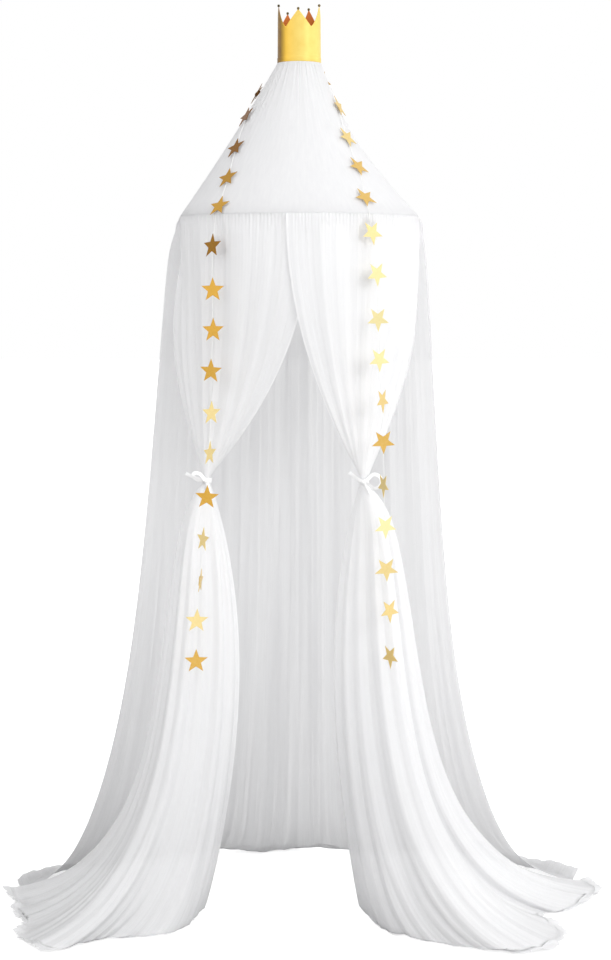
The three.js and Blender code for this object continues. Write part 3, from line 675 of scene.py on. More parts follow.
@dataclass
class Skin:
    """A grid of points: rows go down, columns across. It becomes one mesh."""

    points: Array
    ring: bool = False
    loop: bool = False
    capped: bool = False

    def steps_across(self) -> Array:
        """Step from one column to the next, at each point."""
        if self.ring:
            return (np.roll(self.points, -1, axis=1) - np.roll(self.points, 1, axis=1)) / 2
        return np.gradient(self.points, axis=1)

    def normals(self) -> Array:
        """Normals of the grid, from neighbouring points."""
        return unit(np.cross(np.gradient(self.points, axis=0), self.steps_across()))

    def pitch(self) -> Array:
        """Width of the cloth at each point, were all of it as wide as there."""
        return np.linalg.norm(self.steps_across(), axis=2) * self.points.shape[1]

    def pushed(self, height: Array) -> "Skin":
        """A skin with each point moved along its normal."""
        return Skin(self.points + self.normals() * height[..., None], self.ring)

    def mesh(self, name: str) -> Mesh:
        """Make the mesh, smooth, with the flat cloth's sizes as its UV map.

        A ring closes each row on itself, a loop closes the last row on the first, and capped ends
        are filled.

        Args:
            name: the mesh's name.

        Returns:
            The mesh.
        """
        rows, columns, _ = self.points.shape
        index = np.arange(rows * columns).reshape(rows, columns)
        falls = rows if self.loop else rows - 1
        spans = columns if self.ring else columns - 1
        lower = np.roll(index, -1, axis=0)
        corners = (index, lower, np.roll(lower, -1, axis=1), np.roll(index, -1, axis=1))
        quads = np.stack([corner[:falls, :spans] for corner in corners], axis=-1).reshape(-1, 4)
        faces = quads.tolist()
        if self.capped:
            faces += [index[0].tolist(), index[-1].tolist()[::-1]]
        mesh = mesh_of(name, self.points.reshape(-1, 3), faces)
        steps = np.diff(self.points, axis=0)
        if self.loop:
            steps = np.concatenate([steps, self.points[:1] - self.points[-1:]])
        v = np.concatenate([[0], np.cumsum(np.linalg.norm(steps, axis=2).mean(axis=1))])
        width = float(np.linalg.norm(np.diff(self.points, axis=1), axis=2).sum(axis=1).max())
        u = np.arange(spans + 1) / spans * width
        r, c = np.divmod(np.arange(len(quads)), spans)
        places = ((r, c), (r + 1, c), (r + 1, c + 1), (r, c + 1))
        uv = np.stack([np.stack([u[j], v[i]], axis=-1) for i, j in places], axis=1).reshape(-1, 2)
        if self.capped:
            uv = np.concatenate([uv, np.zeros((2 * columns, 2))])
        layer = mesh.uv_layers.new(name="cloth")
        layer.data.foreach_set("uv", uv.astype(np.float32).ravel())
        return mesh


def mesh_of(name: str, points: Array, faces: Sequence[Sequence[int]]) -> Mesh:
    """A smooth-shaded mesh.

    Args:
        name: the mesh's name.
        points: corner places.
        faces: corner numbers of each face.

    Returns:
        The mesh.
    """
    mesh = bpy.data.meshes.new(name)
    mesh.from_pydata(np.asarray(points).tolist(), [], faces)
    mesh.polygons.foreach_set("use_smooth", [True] * len(mesh.polygons))
    mesh.update()
    return mesh


def ring_faces(rows: int, columns: int, closed: bool = False) -> list[list[int]]:
    """Four-cornered faces between rings of points.

    Args:
        rows: how many rings.
        columns: points of each ring.
        closed: join the last ring to the first.

    Returns:
        Corner numbers of each face.
    """
    faces = []
    for i in range(rows if closed else rows - 1):
        a, b = i * columns, (i + 1) % rows * columns
        for j in range(columns):
            k = (j + 1) % columns
            faces.append([a + j, a + k, b + k, b + j])
    return faces


def frames_along(path: Array) -> tuple[Array, Array, Array]:
    """Unit directions that follow a path without twist.

    Args:
        path: the points.

    Returns:
        Tangents, sides and ups, one each a point.
    """
    tangent = unit(np.gradient(path, axis=0))
    side = np.empty_like(path)
    start = np.cross(tangent[0], [0.0, 0.0, 1.0])
    if np.linalg.norm(start) < 1e-3:
        start = np.cross(tangent[0], [1.0, 0.0, 0.0])
    side[0] = unit(start)
    for i in range(1, len(path)):
        side[i] = unit(side[i - 1] - tangent[i] * np.dot(side[i - 1], tangent[i]))
    return tangent, side, np.cross(tangent, side)


def tube_mesh(name: str, path: Array, radius: float, sides: int, closed: bool = False) -> Mesh:
    """A round tube along a path.

    Args:
        name: the mesh's name.
        path: its centreline.
        radius: its radius.
        sides: corners round it.
        closed: join the last point to the first.

    Returns:
        The mesh, with its ends capped unless it is closed.
    """
    _, side, up = frames_along(path)
    if closed:
        side = unit(path - path.mean(axis=0))
        up = unit(np.cross(np.roll(path, -1, axis=0) - np.roll(path, 1, axis=0), side))
    points = path[:, None] + radius * circles(side, up, sides)
    n = len(path)
    faces = ring_faces(n, sides, closed)
    if not closed:
        faces.append(list(range(sides))[::-1])
        faces.append([(n - 1) * sides + j for j in range(sides)])
    return mesh_of(name, points.reshape(-1, 3), faces)


def strip_skin(path: Array, wide: Array, width: Values, thickness: float) -> Skin:
    """A ribbon along a path, with rounded edges and closed ends.

    Args:
        path: its middle line.
        wide: the way that its width runs, at each point.
        width: its width, at each point or one for all.
        thickness: its thickness.

    Returns:
        The skin, with rows along the path and columns round the section.
    """
    tangent = unit(np.gradient(path, axis=0))
    side = unit(wide - tangent * (wide * tangent).sum(axis=1, keepdims=True))
    up = np.cross(tangent, side)
    half = np.broadcast_to(np.asarray(width, dtype=float) / 2, (len(path),))[:, None]
    thin = thickness / 2
    flat = np.array([-1, -0.6, -0.2, 0.2, 0.6, 1.0])
    across = np.concatenate([flat, [1.0], flat[::-1], [-1.0]])
    rise = np.concatenate([np.ones(6), [0.0], -np.ones(6), [0.0]]) * thin
    inset = np.zeros(14)
    inset[[0, 12]] = thin
    inset[[5, 7]] = -thin
    reach = half * across[None] + inset[None]
    points = path[:, None] + side[:, None] * reach[..., None] + up[:, None] * rise[None, :, None]
    return Skin(points, ring=True, capped=True)


def joined_mesh(name: str, skins: Sequence[Skin]) -> Mesh:
    """Several skins as one mesh."""
    joined = bmesh.new()
    for skin in skins:
        part = skin.mesh(name)
        joined.from_mesh(part)
        bpy.data.meshes.remove(part)
    mesh = bpy.data.meshes.new(name)
    joined.to_mesh(mesh)
    joined.free()
    return mesh


def spline_through(corners: Sequence[Sequence[float]], steps: int) -> Array:
    """Points on a smooth curve through given corners.

    Args:
        corners: the corners, in order.
        steps: points between two corners.

    Returns:
        The points, the corners among them.
    """
    p = np.asarray(corners, dtype=float)
    padded = np.concatenate([[2 * p[0] - p[1]], p, [2 * p[-1] - p[-2]]])
    out = []
    for i in range(len(p) - 1):
        a, b, c, d = padded[i : i + 4]
        for t in np.arange(steps) / steps:
            square = (2 * a - 5 * b + 4 * c - d) * t**2
            out.append(0.5 * (2 * b + (c - a) * t + square + (3 * b - a - 3 * c + d) * t**3))
    out.append(p[-1])
    return np.asarray(out)


def add_piece(
    name: str,
    mesh: Mesh,
    finish: Finish,
    body: str,
    replaces: Sequence[str] = (),
) -> bpy.types.Object:
    """Put one piece in the scene, with its finish, on its body.

    Args:
        name: the piece's name.
        mesh: its mesh.
        finish: what it is made of.
        body: the CAD body that it rides on.
        replaces: CAD nodes that it stands for.

    Returns:
        The piece.
    """
    piece = bpy.data.objects.new(name, mesh)
    bpy.context.scene.collection.objects.link(piece)
    mesh.materials.append(finish.material())
    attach(piece, body)
    if replaces:
        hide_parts(*replaces)
    return piece


@dataclass
class Cone:
    """Cloth over the cone: a collar inside the crown, and pleats that fade towards the hoop."""

    sag: float = 0.020
    sag_lean: float = 0.014
    columns: int = 1320
    collar_height: float = 0.012
    pleat_counts: tuple[int, ...] = (31, 47, 73)
    pleat_depths: tuple[float, ...] = (0.0010, 0.0008, 0.0005)
    soft_depth: float = 0.0007
    rows: int = 120
    row_power: float = 1.15
    collar_ripples: int = 60

    def place(self, share: Values, degrees: Values) -> Array:
        """Places on the cone before its pleats.

        Args:
            share: share of the way down.
            degrees: angle from the front, towards +X.

        Returns:
            The points.
        """
        side = np.sin(np.radians(degrees))
        sag = (self.sag + self.sag_lean * side) * np.sin(math.pi * share)
        radius = mix(CROWN_BASE_RADIUS + SEAT_GAP, SLEEVE_RADIUS, share) - sag
        return ring_at(radius, degrees, mix(NECK_Z - SEAT_GAP, CONE_BASE_Z, share))

    def normal(self, share: float, degrees: float) -> Array:
        """Outward direction on the cone, at one place."""
        down = self.place(share + 0.01, degrees) - self.place(share - 0.01, degrees)
        along = self.place(share, degrees + 1) - self.place(share, degrees - 1)
        return unit(np.cross(down, along))

    def pleats(self, share: Array, turn: Array) -> Array:
        """How far in the pleats go, for shares down and shares of a turn."""
        rng = np.random.default_rng(3)
        depth = np.zeros(np.broadcast_shapes(share.shape, turn.shape))
        warped = turn + 0.004 * np.sin(2 * math.pi * 7 * turn)
        warped = warped + 0.002 * np.sin(2 * math.pi * 17 * turn + 1)
        for count, size in zip(self.pleat_counts, self.pleat_depths):
            reach = 0.55 + 0.3 * np.sin(2 * math.pi * (5 * turn + rng.uniform(0, 1)))
            fade = 1 - smooth(share / reach)
            phase = 2 * math.pi * (count * warped + rng.uniform(0, 1))
            depth = depth + size * fade * (0.5 - 0.5 * np.cos(phase)) ** 0.8
        soft = self.soft_depth * (0.5 + 0.5 * np.sin(2 * math.pi * (11 * turn + 0.2)))
        depth = depth + soft * smooth(share / 0.3)
        return depth * smooth(share / 0.03) * (1 - smooth((share - 0.93) / 0.07))

    def build(self) -> None:
        """Collar, cone and the edge that turns over the hoop's sleeve."""
        turn = np.arange(self.columns) / self.columns
        degrees = 360 * turn[None]
        share = np.linspace(0, 1, self.rows)[:, None] ** self.row_power
        cone = self.place(share, degrees)
        skin = Skin(cone, ring=True)
        cone = cone - skin.normals() * self.pleats(share, turn[None])[..., None]
        ripple = np.cos(2 * math.pi * self.collar_ripples * turn)
        radius = COLLAR_RADIUS - 0.0003 + 0.0002 * ripple
        heights = np.linspace(NECK_Z + self.collar_height, NECK_Z - 0.0002, 7)
        collar = [ring_at(radius, degrees[0], z) for z in heights]
        edge = [
            ring_at(SLEEVE_RADIUS + out, degrees[0], CONE_BASE_Z - down)
            for down, out in ((0.0015, 0.0009), (0.0035, 0.0013), (0.0055, 0.0012))
        ]
        points = np.concatenate([np.stack(collar), cone, np.stack(edge)])
        mesh = Skin(points, ring=True).mesh("cone_cloth")
        piece = add_piece("cone_cloth", mesh, COVER, "canopy", ["cone_cover"])


@dataclass
class Hoop:
    """Hoop rods, the tubes that join them, and the sewn sleeve round them."""

    parts: int = 4
    rod_radius: float = 0.003
    rod_end_gap: float = 0.004
    tube_length: float = 0.044
    tube_radius: float = 0.005
    tube_bore: float = 0.0037
    mouth: float = 0.278
    corner: float = 0.0022
    pucker: float = 0.00012
    pucker_counts: tuple[int, ...] = (160, 231, 97)
    sides: int = 20
    columns: int = 1200

    def arc(self, start: float, end: float, steps: int) -> Array:
        """Points along the hoop, between two angles."""
        return ring_at(HOOP_RADIUS, np.linspace(start, end, steps), HOOP_Z)

    def build_rods(self) -> None:
        """Four rods with rounded ends, and four tubes with a bore."""
        span = 360 / self.parts
        gap = math.degrees(self.rod_end_gap / HOOP_RADIUS) / 2
        reach = math.degrees(self.tube_length / HOOP_RADIUS) / 2
        for i in range(self.parts):
            start = span * (i + 0.5)
            path = self.arc(start + gap, start + span - gap, 90)
            radius = np.full(len(path), self.rod_radius)
            radius[[0, -1]] *= 0.72
            name = f"rod_{i + 1}"
            mesh = self.sleeved(name, path, radius, None)
            add_piece(name, mesh, PLASTIC, "canopy", [f"hoop_rod_{i + 1}"])
            path = self.arc(start - reach, start + reach, 24)
            radius = np.full(len(path), self.tube_radius)
            radius[[0, -1]] -= 0.0004
            name = f"rod_tube_{i + 1}"
            mesh = self.sleeved(name, path, radius, self.tube_bore)
            add_piece(name, mesh, PLASTIC, "canopy", [f"hoop_connector_{i + 1}"])

    def sleeved(self, name: str, path: Array, radius: Array, bore: float | None) -> Mesh:
        """A rod, or a tube with a bore, along part of the hoop.

        Args:
            name: the mesh's name.
            path: its centreline.
            radius: its radius at each point.
            bore: radius of the bore, or None for a rod.

        Returns:
            The mesh.
        """
        _, side, up = frames_along(path)
        ring = circles(side, up, self.sides)
        outer = path[:, None] + ring * radius[:, None, None]
        if bore is None:
            return Skin(outer, ring=True, capped=True).mesh(name)
        inner = path[::-1, None] + ring[::-1] * bore
        return Skin(np.concatenate([outer, inner]), ring=True, loop=True).mesh(name)

    def build_sleeve(self) -> None:
        """The channel of cloth, open towards the inside, puckered along its seam."""
        turn = np.arange(self.columns) / self.columns
        half, outer = SLEEVE_HALF - 0.0004, SLEEVE_RADIUS - 0.0004
        corner = self.corner
        section = [(self.mouth, half), (self.mouth + 0.006, half), (self.mouth + 0.012, half)]
        for step in range(5):
            bend = math.pi / 2 * step / 4
            inward, down = corner * (1 - math.sin(bend)), corner * (1 - math.cos(bend))
            section.append((outer - inward, half - down))
        section.append((outer, 0.0))
        section += [(r, -z) for r, z in section[::-1][1:]]
        rng = np.random.default_rng(21)
        pucker = self.pucker * sum(
            np.sin(2 * math.pi * (count * turn + rng.uniform(0, 1))) for count in self.pucker_counts
        )
        rows = [
            ring_at(radius + pucker, 360 * turn, HOOP_Z + rise + pucker * (1 if rise > 0 else -1))
            for radius, rise in section
        ]
        mesh = Skin(np.stack(rows), ring=True).mesh("sleeve_cloth")
        piece = add_piece("sleeve_cloth", mesh, COVER, "canopy", ["hoop_sleeve"])


@dataclass
class Neck:
    """What is inside the crown's foot: wire ring, cap, webbing loop and hanging ring."""

    wire_radius: float = 0.002
    wire_lift: float = 0.004
    cloth_wall: float = 0.002
    cap_thickness: float = 0.002
    ring_radius: float = 0.013
    webbing_width: float = 0.010
    webbing_thickness: float = 0.0012
    loop_radius: float = 0.0034
    foot_length: float = 0.011
    foot_bend: float = 0.0016

    def ring_path(self, radius: float, steps: int) -> Array:
        """Points round a level circle at the origin."""
        return ring_at(radius, np.arange(steps) / steps * 360, 0.0)

    def build_wire(self) -> None:
        """The ring that keeps the neck round."""
        radius = COLLAR_RADIUS - self.cloth_wall - SEAT_GAP - self.wire_radius
        path = self.ring_path(radius, 96) + np.array([0, 0, NECK_Z + self.wire_lift])
        mesh = tube_mesh("neck_wire", path, self.wire_radius, 14, True)
        add_piece("neck_wire", mesh, STEEL, "canopy", ["neck_ring"])

    def build_cap(self) -> None:
        """A round of cloth, drawn up in small puckers at its edge."""
        radius = COLLAR_RADIUS - self.cloth_wall - SEAT_GAP
        low = NECK_Z + self.wire_lift + self.wire_radius + SEAT_GAP
        thick = self.cap_thickness
        turn = np.arange(180) / 180
        pucker = np.sin(2 * math.pi * 36 * turn) + 0.5 * np.sin(2 * math.pi * 23 * turn + 1)
        rows = []
        profile = [(0.002, 0.92), (0.3, 0.92), (0.6, 0.9), (0.85, 0.86), (0.96, 0.8), (1.0, 0.5)]
        profile += [(0.96, 0.16), (0.85, 0.1), (0.6, 0.06), (0.3, 0.04), (0.002, 0.04)]
        for share, rise in profile:
            swell = 0.06 * smooth((share - 0.5) / 0.5) * pucker * (1 if rise > 0.5 else -1)
            reach = radius * share - 0.0002 * (1 + pucker) * (share > 0.9)
            rows.append(ring_at(reach, 360 * turn, low + thick * np.clip(rise + swell, 0, 1)))
        mesh = Skin(np.stack(rows), ring=True, capped=True).mesh("neck_cap_cloth")
        piece = add_piece("neck_cap_cloth", mesh, COVER, "canopy", ["neck_cap"])

    def build_loop(self) -> None:
        """Webbing over the ring's wire, both ends turned out flat on the cap and stitched."""
        pivot = -(self.ring_radius * 2 - self.wire_radius)
        foot = NECK_Z + self.wire_lift + self.wire_radius + 2 * SEAT_GAP + self.cap_thickness
        thin = self.webbing_thickness
        middle = self.loop_radius + thin / 2
        base = foot + thin / 2
        corner = self.foot_bend
        line = [(middle + self.foot_length, base), (middle + self.foot_length * 0.5, base)]
        line += [
            (middle + corner * (1 - math.sin(b)), base + corner * (1 - math.cos(b)))
            for b in np.linspace(0.2, math.pi / 2, 5)
        ]
        line += [(middle, mix(base + corner, pivot, t)) for t in (0.25, 0.5, 0.75)]
        over = np.linspace(0, math.pi, 17)
        line += [(middle * math.cos(b), pivot + middle * math.sin(b)) for b in over]
        line += [(-y, z) for y, z in line[:10][::-1]]
        path = np.array([(0.0, y, z) for y, z in line])
        wide = np.tile([1.0, 0.0, 0.0], (len(path), 1))
        mesh = strip_skin(path, wide, self.webbing_width, thin).mesh("loop_webbing")
        piece = add_piece("loop_webbing", mesh, RIBBON, "canopy", ["hanging_loop"])

    def build_ring(self) -> None:
        """The steel ring, with its weld at the lowest place."""
        path = self.ring_path(self.ring_radius, 96)
        path = np.stack([path[:, 0], np.zeros(96), path[:, 1]], axis=-1)
        pivot = -(self.ring_radius * 2 - self.wire_radius)
        path = path + np.array([0, 0, pivot + self.ring_radius])
        mesh = tube_mesh("hook_ring", path, self.wire_radius, 16, True)
        add_piece("hook_ring", mesh, STEEL, "eye_ring", ["hanging_ring"])

    def build(self) -> None:
        """All four pieces."""
        self.build_wire()
        self.build_cap()
        self.build_loop()
        self.build_ring()


@dataclass
class Crown:
    """Rolled sheet with five points, a folded hem at its foot and a ball on each point."""

    sheet: float = 0.0016
    hem_height: float = 0.013
    hem_relief: float = 0.0007
    valley_height: float = 0.086
    point_height: float = 0.137
    ball_radius: float = 0.0034
    ball_rise: float = 0.8
    turn: float = -2.5
    point_turns: tuple[float, ...] = (0, 72, 156, 216, 288)
    point_shares: tuple[float, ...] = (0.77, 1, 1, 0.8, 1)
    point_powers: tuple[float, ...] = (1.05, 1.35, 1.25, 1.2, 1.35)
    columns: int = 480

    def edge_height(self, degrees: Array) -> Array:
        """Height of the upper edge at angles from the front point."""
        ends = np.asarray([*self.point_turns, 360.0])
        i = np.clip(np.searchsorted(ends, degrees, side="right") - 1, 0, len(ends) - 2)
        along = (degrees - ends[i]) / (ends[i + 1] - ends[i])
        nearest = np.where(along < 0.5, i, (i + 1) % len(self.point_turns))
        rise = (self.point_height - self.valley_height) * np.asarray(self.point_shares)[nearest]
        blunt = np.clip(np.abs(1 - 2 * along) * 1.04, 0, 1)
        return self.valley_height + rise * blunt ** np.asarray(self.point_powers)[nearest]

    def radius_at(self, height: Values) -> Values:
        """Outer radius of the sheet at a height above the foot."""
        return mix(CROWN_BASE_RADIUS, CROWN_TOP_RADIUS, height / self.point_height)

    def build(self) -> None:
        """Sheet and balls as one piece."""
        degrees = np.arange(self.columns) / self.columns * 360
        edge = self.edge_height(degrees)
        hem, thin, relief = self.hem_height, self.sheet, self.hem_relief
        section = [(np.full_like(edge, 0.0006), thin)]
        section += [(mix(0.0006, edge - 0.0006, t), thin) for t in np.linspace(0, 1, 26)[1:]]
        section += [(edge - 0.0001, thin - 0.0003), (edge, (thin + relief) / 2)]
        section += [(edge - 0.0001, relief + 0.0003)]
        section += [(mix(edge - 0.0006, hem + 0.0004, t), relief) for t in np.linspace(0, 1, 26)]
        section += [(hem, relief * 0.9), (hem - 0.0004, relief * 0.35), (hem - 0.001, 0.0001)]
        section += [(hem - 0.002, 0.0), (hem * 0.5, 0.0), (0.001, 0.0), (0.0004, 0.0002)]
        section += [(0.0, 0.0006), (0.0, thin - 0.0006), (0.0002, thin - 0.0002)]
        dent = 0.00012 * np.sin(np.radians(degrees * 3 + 40))
        dent = dent + 0.00008 * np.sin(np.radians(degrees * 7))
        dent = dent - 0.0002
        turned = degrees + self.turn
        rows = [
            ring_at(self.radius_at(height) - inset + dent, turned, NECK_Z + height)
            for height, inset in section
        ]
        # rows run up the inside and down the outside, so the columns are taken the other way round
        points = np.stack(rows)[:, ::-1]
        mesh = Skin(points, ring=True, loop=True).mesh("crown_sheet")
        crown = add_piece("crown_sheet", mesh, CROWN_GOLD, "canopy", ["crown"])
        balls = [self.ball_points(*point) for point in zip(self.point_turns, self.point_shares)]
        faces, points, start = [], [], 0
        for ball, ball_faces in balls:
            faces += [[start + i for i in face] for face in ball_faces]
            points.append(ball)
            start += len(ball)
        mesh = mesh_of("crown_balls", np.concatenate(points), faces)
        add_piece("crown_balls", mesh, BALL_BRONZE, "canopy", ["crown"])
        log.info("%s with its balls", crown.name)

    def ball_points(self, turn: float, share: float) -> tuple[Array, list[list[int]]]:
        """One ball, sunk a little into the point under it.

        Args:
            turn: the point's angle from the front point.
            share: the point's height as a share of a full one.

        Returns:
            Points and faces.
        """
        height = mix(self.valley_height, self.point_height, share)
        x, y = around(self.radius_at(height) - (self.hem_relief + self.sheet) / 2, turn + self.turn)
        centre = np.array([x, y, NECK_Z + height + self.ball_radius * self.ball_rise])
        rings, sides = 14, 20
        round_ = np.arange(sides) / sides * 2 * math.pi
        points = []
        for i in range(rings + 1):
            polar = mix(0.02, math.pi - 0.02, i / rings)
            level, reach = math.cos(polar) * self.ball_radius, math.sin(polar) * self.ball_radius
            x, y = reach * np.cos(round_), reach * np.sin(round_)
            points.append(np.stack([x, y, np.full(sides, level)], axis=-1))
        faces = [[a, d, c, b] for a, b, c, d in ring_faces(rings + 1, sides)]
        faces.append(list(range(sides)))
        faces.append([rings * sides + j for j in range(sides)][::-1])
        return np.concatenate(points) + centre, faces


@dataclass
class Tie:
    """Ribbon round one gathered waist, and the bow in front of it."""

    hand: Hand
    waist: tuple[float, float]
    loops: tuple[Triple, ...]
    tails: tuple[tuple[float, float], ...]
    inner: float = 0.0118
    width: float = 0.013
    knot_radius: float = 0.0065
    loop_width: float = 0.0095
    tail_width: float = 0.009
    thickness: float = 0.0005
    front: float = 0.01815
    turns: tuple[float, float] = (-170, 550)
    loop_ribbon: float = 2.3
    knot_ribbon: float = 0.06

    def build_band(self) -> None:
        """Two turns of ribbon, drawn tight, its edges a little uneven."""
        turns = np.linspace(*self.turns, 160)
        t = np.linspace(0, 1, 160)
        radius = self.inner + 0.0004 + 0.0006 * t + 0.00015 * np.sin(t * 60)
        x, y = around(radius, turns)
        z = TIE_Z + 0.0012 * np.sin(np.radians(turns) * 0.5 + 0.5)
        path = np.stack([x + self.waist[0], y + self.waist[1], z], axis=-1)
        wide = np.stack([0.10 * np.sin(t * 25), 0.10 * np.cos(t * 31), np.ones(160)], axis=-1)
        width = self.width * (0.78 + 0.06 * np.sin(t * 19) + 0.03 * np.sin(t * 47))
        name = f"ribbon_band_{self.hand.word}"
        mesh = strip_skin(path, wide, width, self.thickness).mesh(name)
        piece = add_piece(name, mesh, RIBBON, "canopy", [f"{self.hand.word}_tie_band"])

    def loop_path(self, degrees: float, length: float, height: float) -> Pair:
        """Middle line of a bow's loop, and the way its width runs.

        Args:
            degrees: the loop's turn, up from +X.
            length: from the knot's middle to its far end.
            height: across the loop.

        Returns:
            The path and the width's directions, seen from the knot's middle.
        """
        t = np.linspace(0, 1, 40)
        swing = 2 * math.pi * t - math.pi
        reach = length * (0.5 + 0.5 * np.cos(swing)) ** 0.75
        across = -0.62 * height * np.sin(swing) * (0.25 + 0.75 * smooth(reach / length / 0.6))
        turn = math.radians(degrees)
        x = reach * math.cos(turn) - across * math.sin(turn)
        z = reach * math.sin(turn) + across * math.cos(turn)
        y = 0.0016 * np.sin(2 * swing)
        path = np.stack([x, y, z], axis=-1)
        along = unit(np.gradient(path, axis=0))
        # the ribbon lies nearly flat in the loop, as a knot under tension turns it
        wide = np.stack([-along[:, 2], np.full(len(t), 0.55), along[:, 0]], axis=-1)
        return path, wide

    def tail_path(self, degrees: float, length: float) -> Pair:
        """Middle line of a ribbon end, and the way its width runs, seen from the knot's middle."""
        t = np.linspace(0, 1, 24)
        turn = math.radians(degrees)
        bend = 0.05 * length * np.sin(t * 3.4)
        x = length * t * math.cos(turn) - bend * math.sin(turn)
        z = length * t * math.sin(turn) + bend * math.cos(turn)
        y = -0.0006 + 0.0022 * np.sin(t * 4.2) * t
        path = np.stack([x, y, z], axis=-1)
        twist = 0.5 * np.sin(t * 3.0)
        flat = np.array([-math.sin(turn), 0.0, math.cos(turn)])
        forward = np.array([[0.0, 1.0, 0.0]])
        wide = np.cos(twist)[:, None] * flat[None] + np.sin(twist)[:, None] * forward
        return path, wide

    def build_bow(self) -> None:
        """Knot, loops and ends as one piece of ribbon."""
        centre = np.array([self.waist[0], self.waist[1] - self.front, TIE_Z])
        parts: list[Skin] = []
        for degrees, length, height in self.loops:
            path, wide = self.loop_path(degrees, length, height)
            parts.append(strip_skin(path + centre, wide, self.loop_width, self.thickness))
        flat_length = sum(self.loop_ribbon * length for _, length, _ in self.loops)
        for degrees, length in self.tails:
            path, wide = self.tail_path(degrees, length)
            t = np.linspace(0, 1, len(path))
            width = self.tail_width * (0.7 + 0.3 * smooth(t / 0.3))
            parts.append(strip_skin(path + centre, wide, width, self.thickness))
            flat_length += length
        parts.append(self.knot_skin(centre))
        flat_length += self.knot_ribbon
        name = f"ribbon_bow_{self.hand.word}"
        mesh = joined_mesh(name, parts)
        piece = add_piece(name, mesh, RIBBON, "canopy", [f"{self.hand.word}_tie_bow"])

    def knot_skin(self, centre: Array) -> Skin:
        """The knot: a turn of ribbon, creased where it is drawn tight."""
        rows, columns = 26, 40
        polar = np.linspace(0.05, math.pi - 0.05, rows)[:, None]
        turn = np.linspace(0, 2 * math.pi, columns, endpoint=False)[None]
        crease = 1 - 0.10 * np.abs(np.sin(3 * turn + 2 * polar)) ** 3
        radius = self.knot_radius * crease
        x = radius * np.sin(polar) * np.cos(turn)
        y = 0.7 * radius * np.sin(polar) * np.sin(turn)
        z = 0.95 * radius * np.cos(polar) * np.ones_like(turn)
        return Skin(np.stack([x, y, z], axis=-1) + centre, ring=True, capped=True)

    def build(self) -> None:
        """Band and bow."""
        self.build_band()
        self.build_bow()


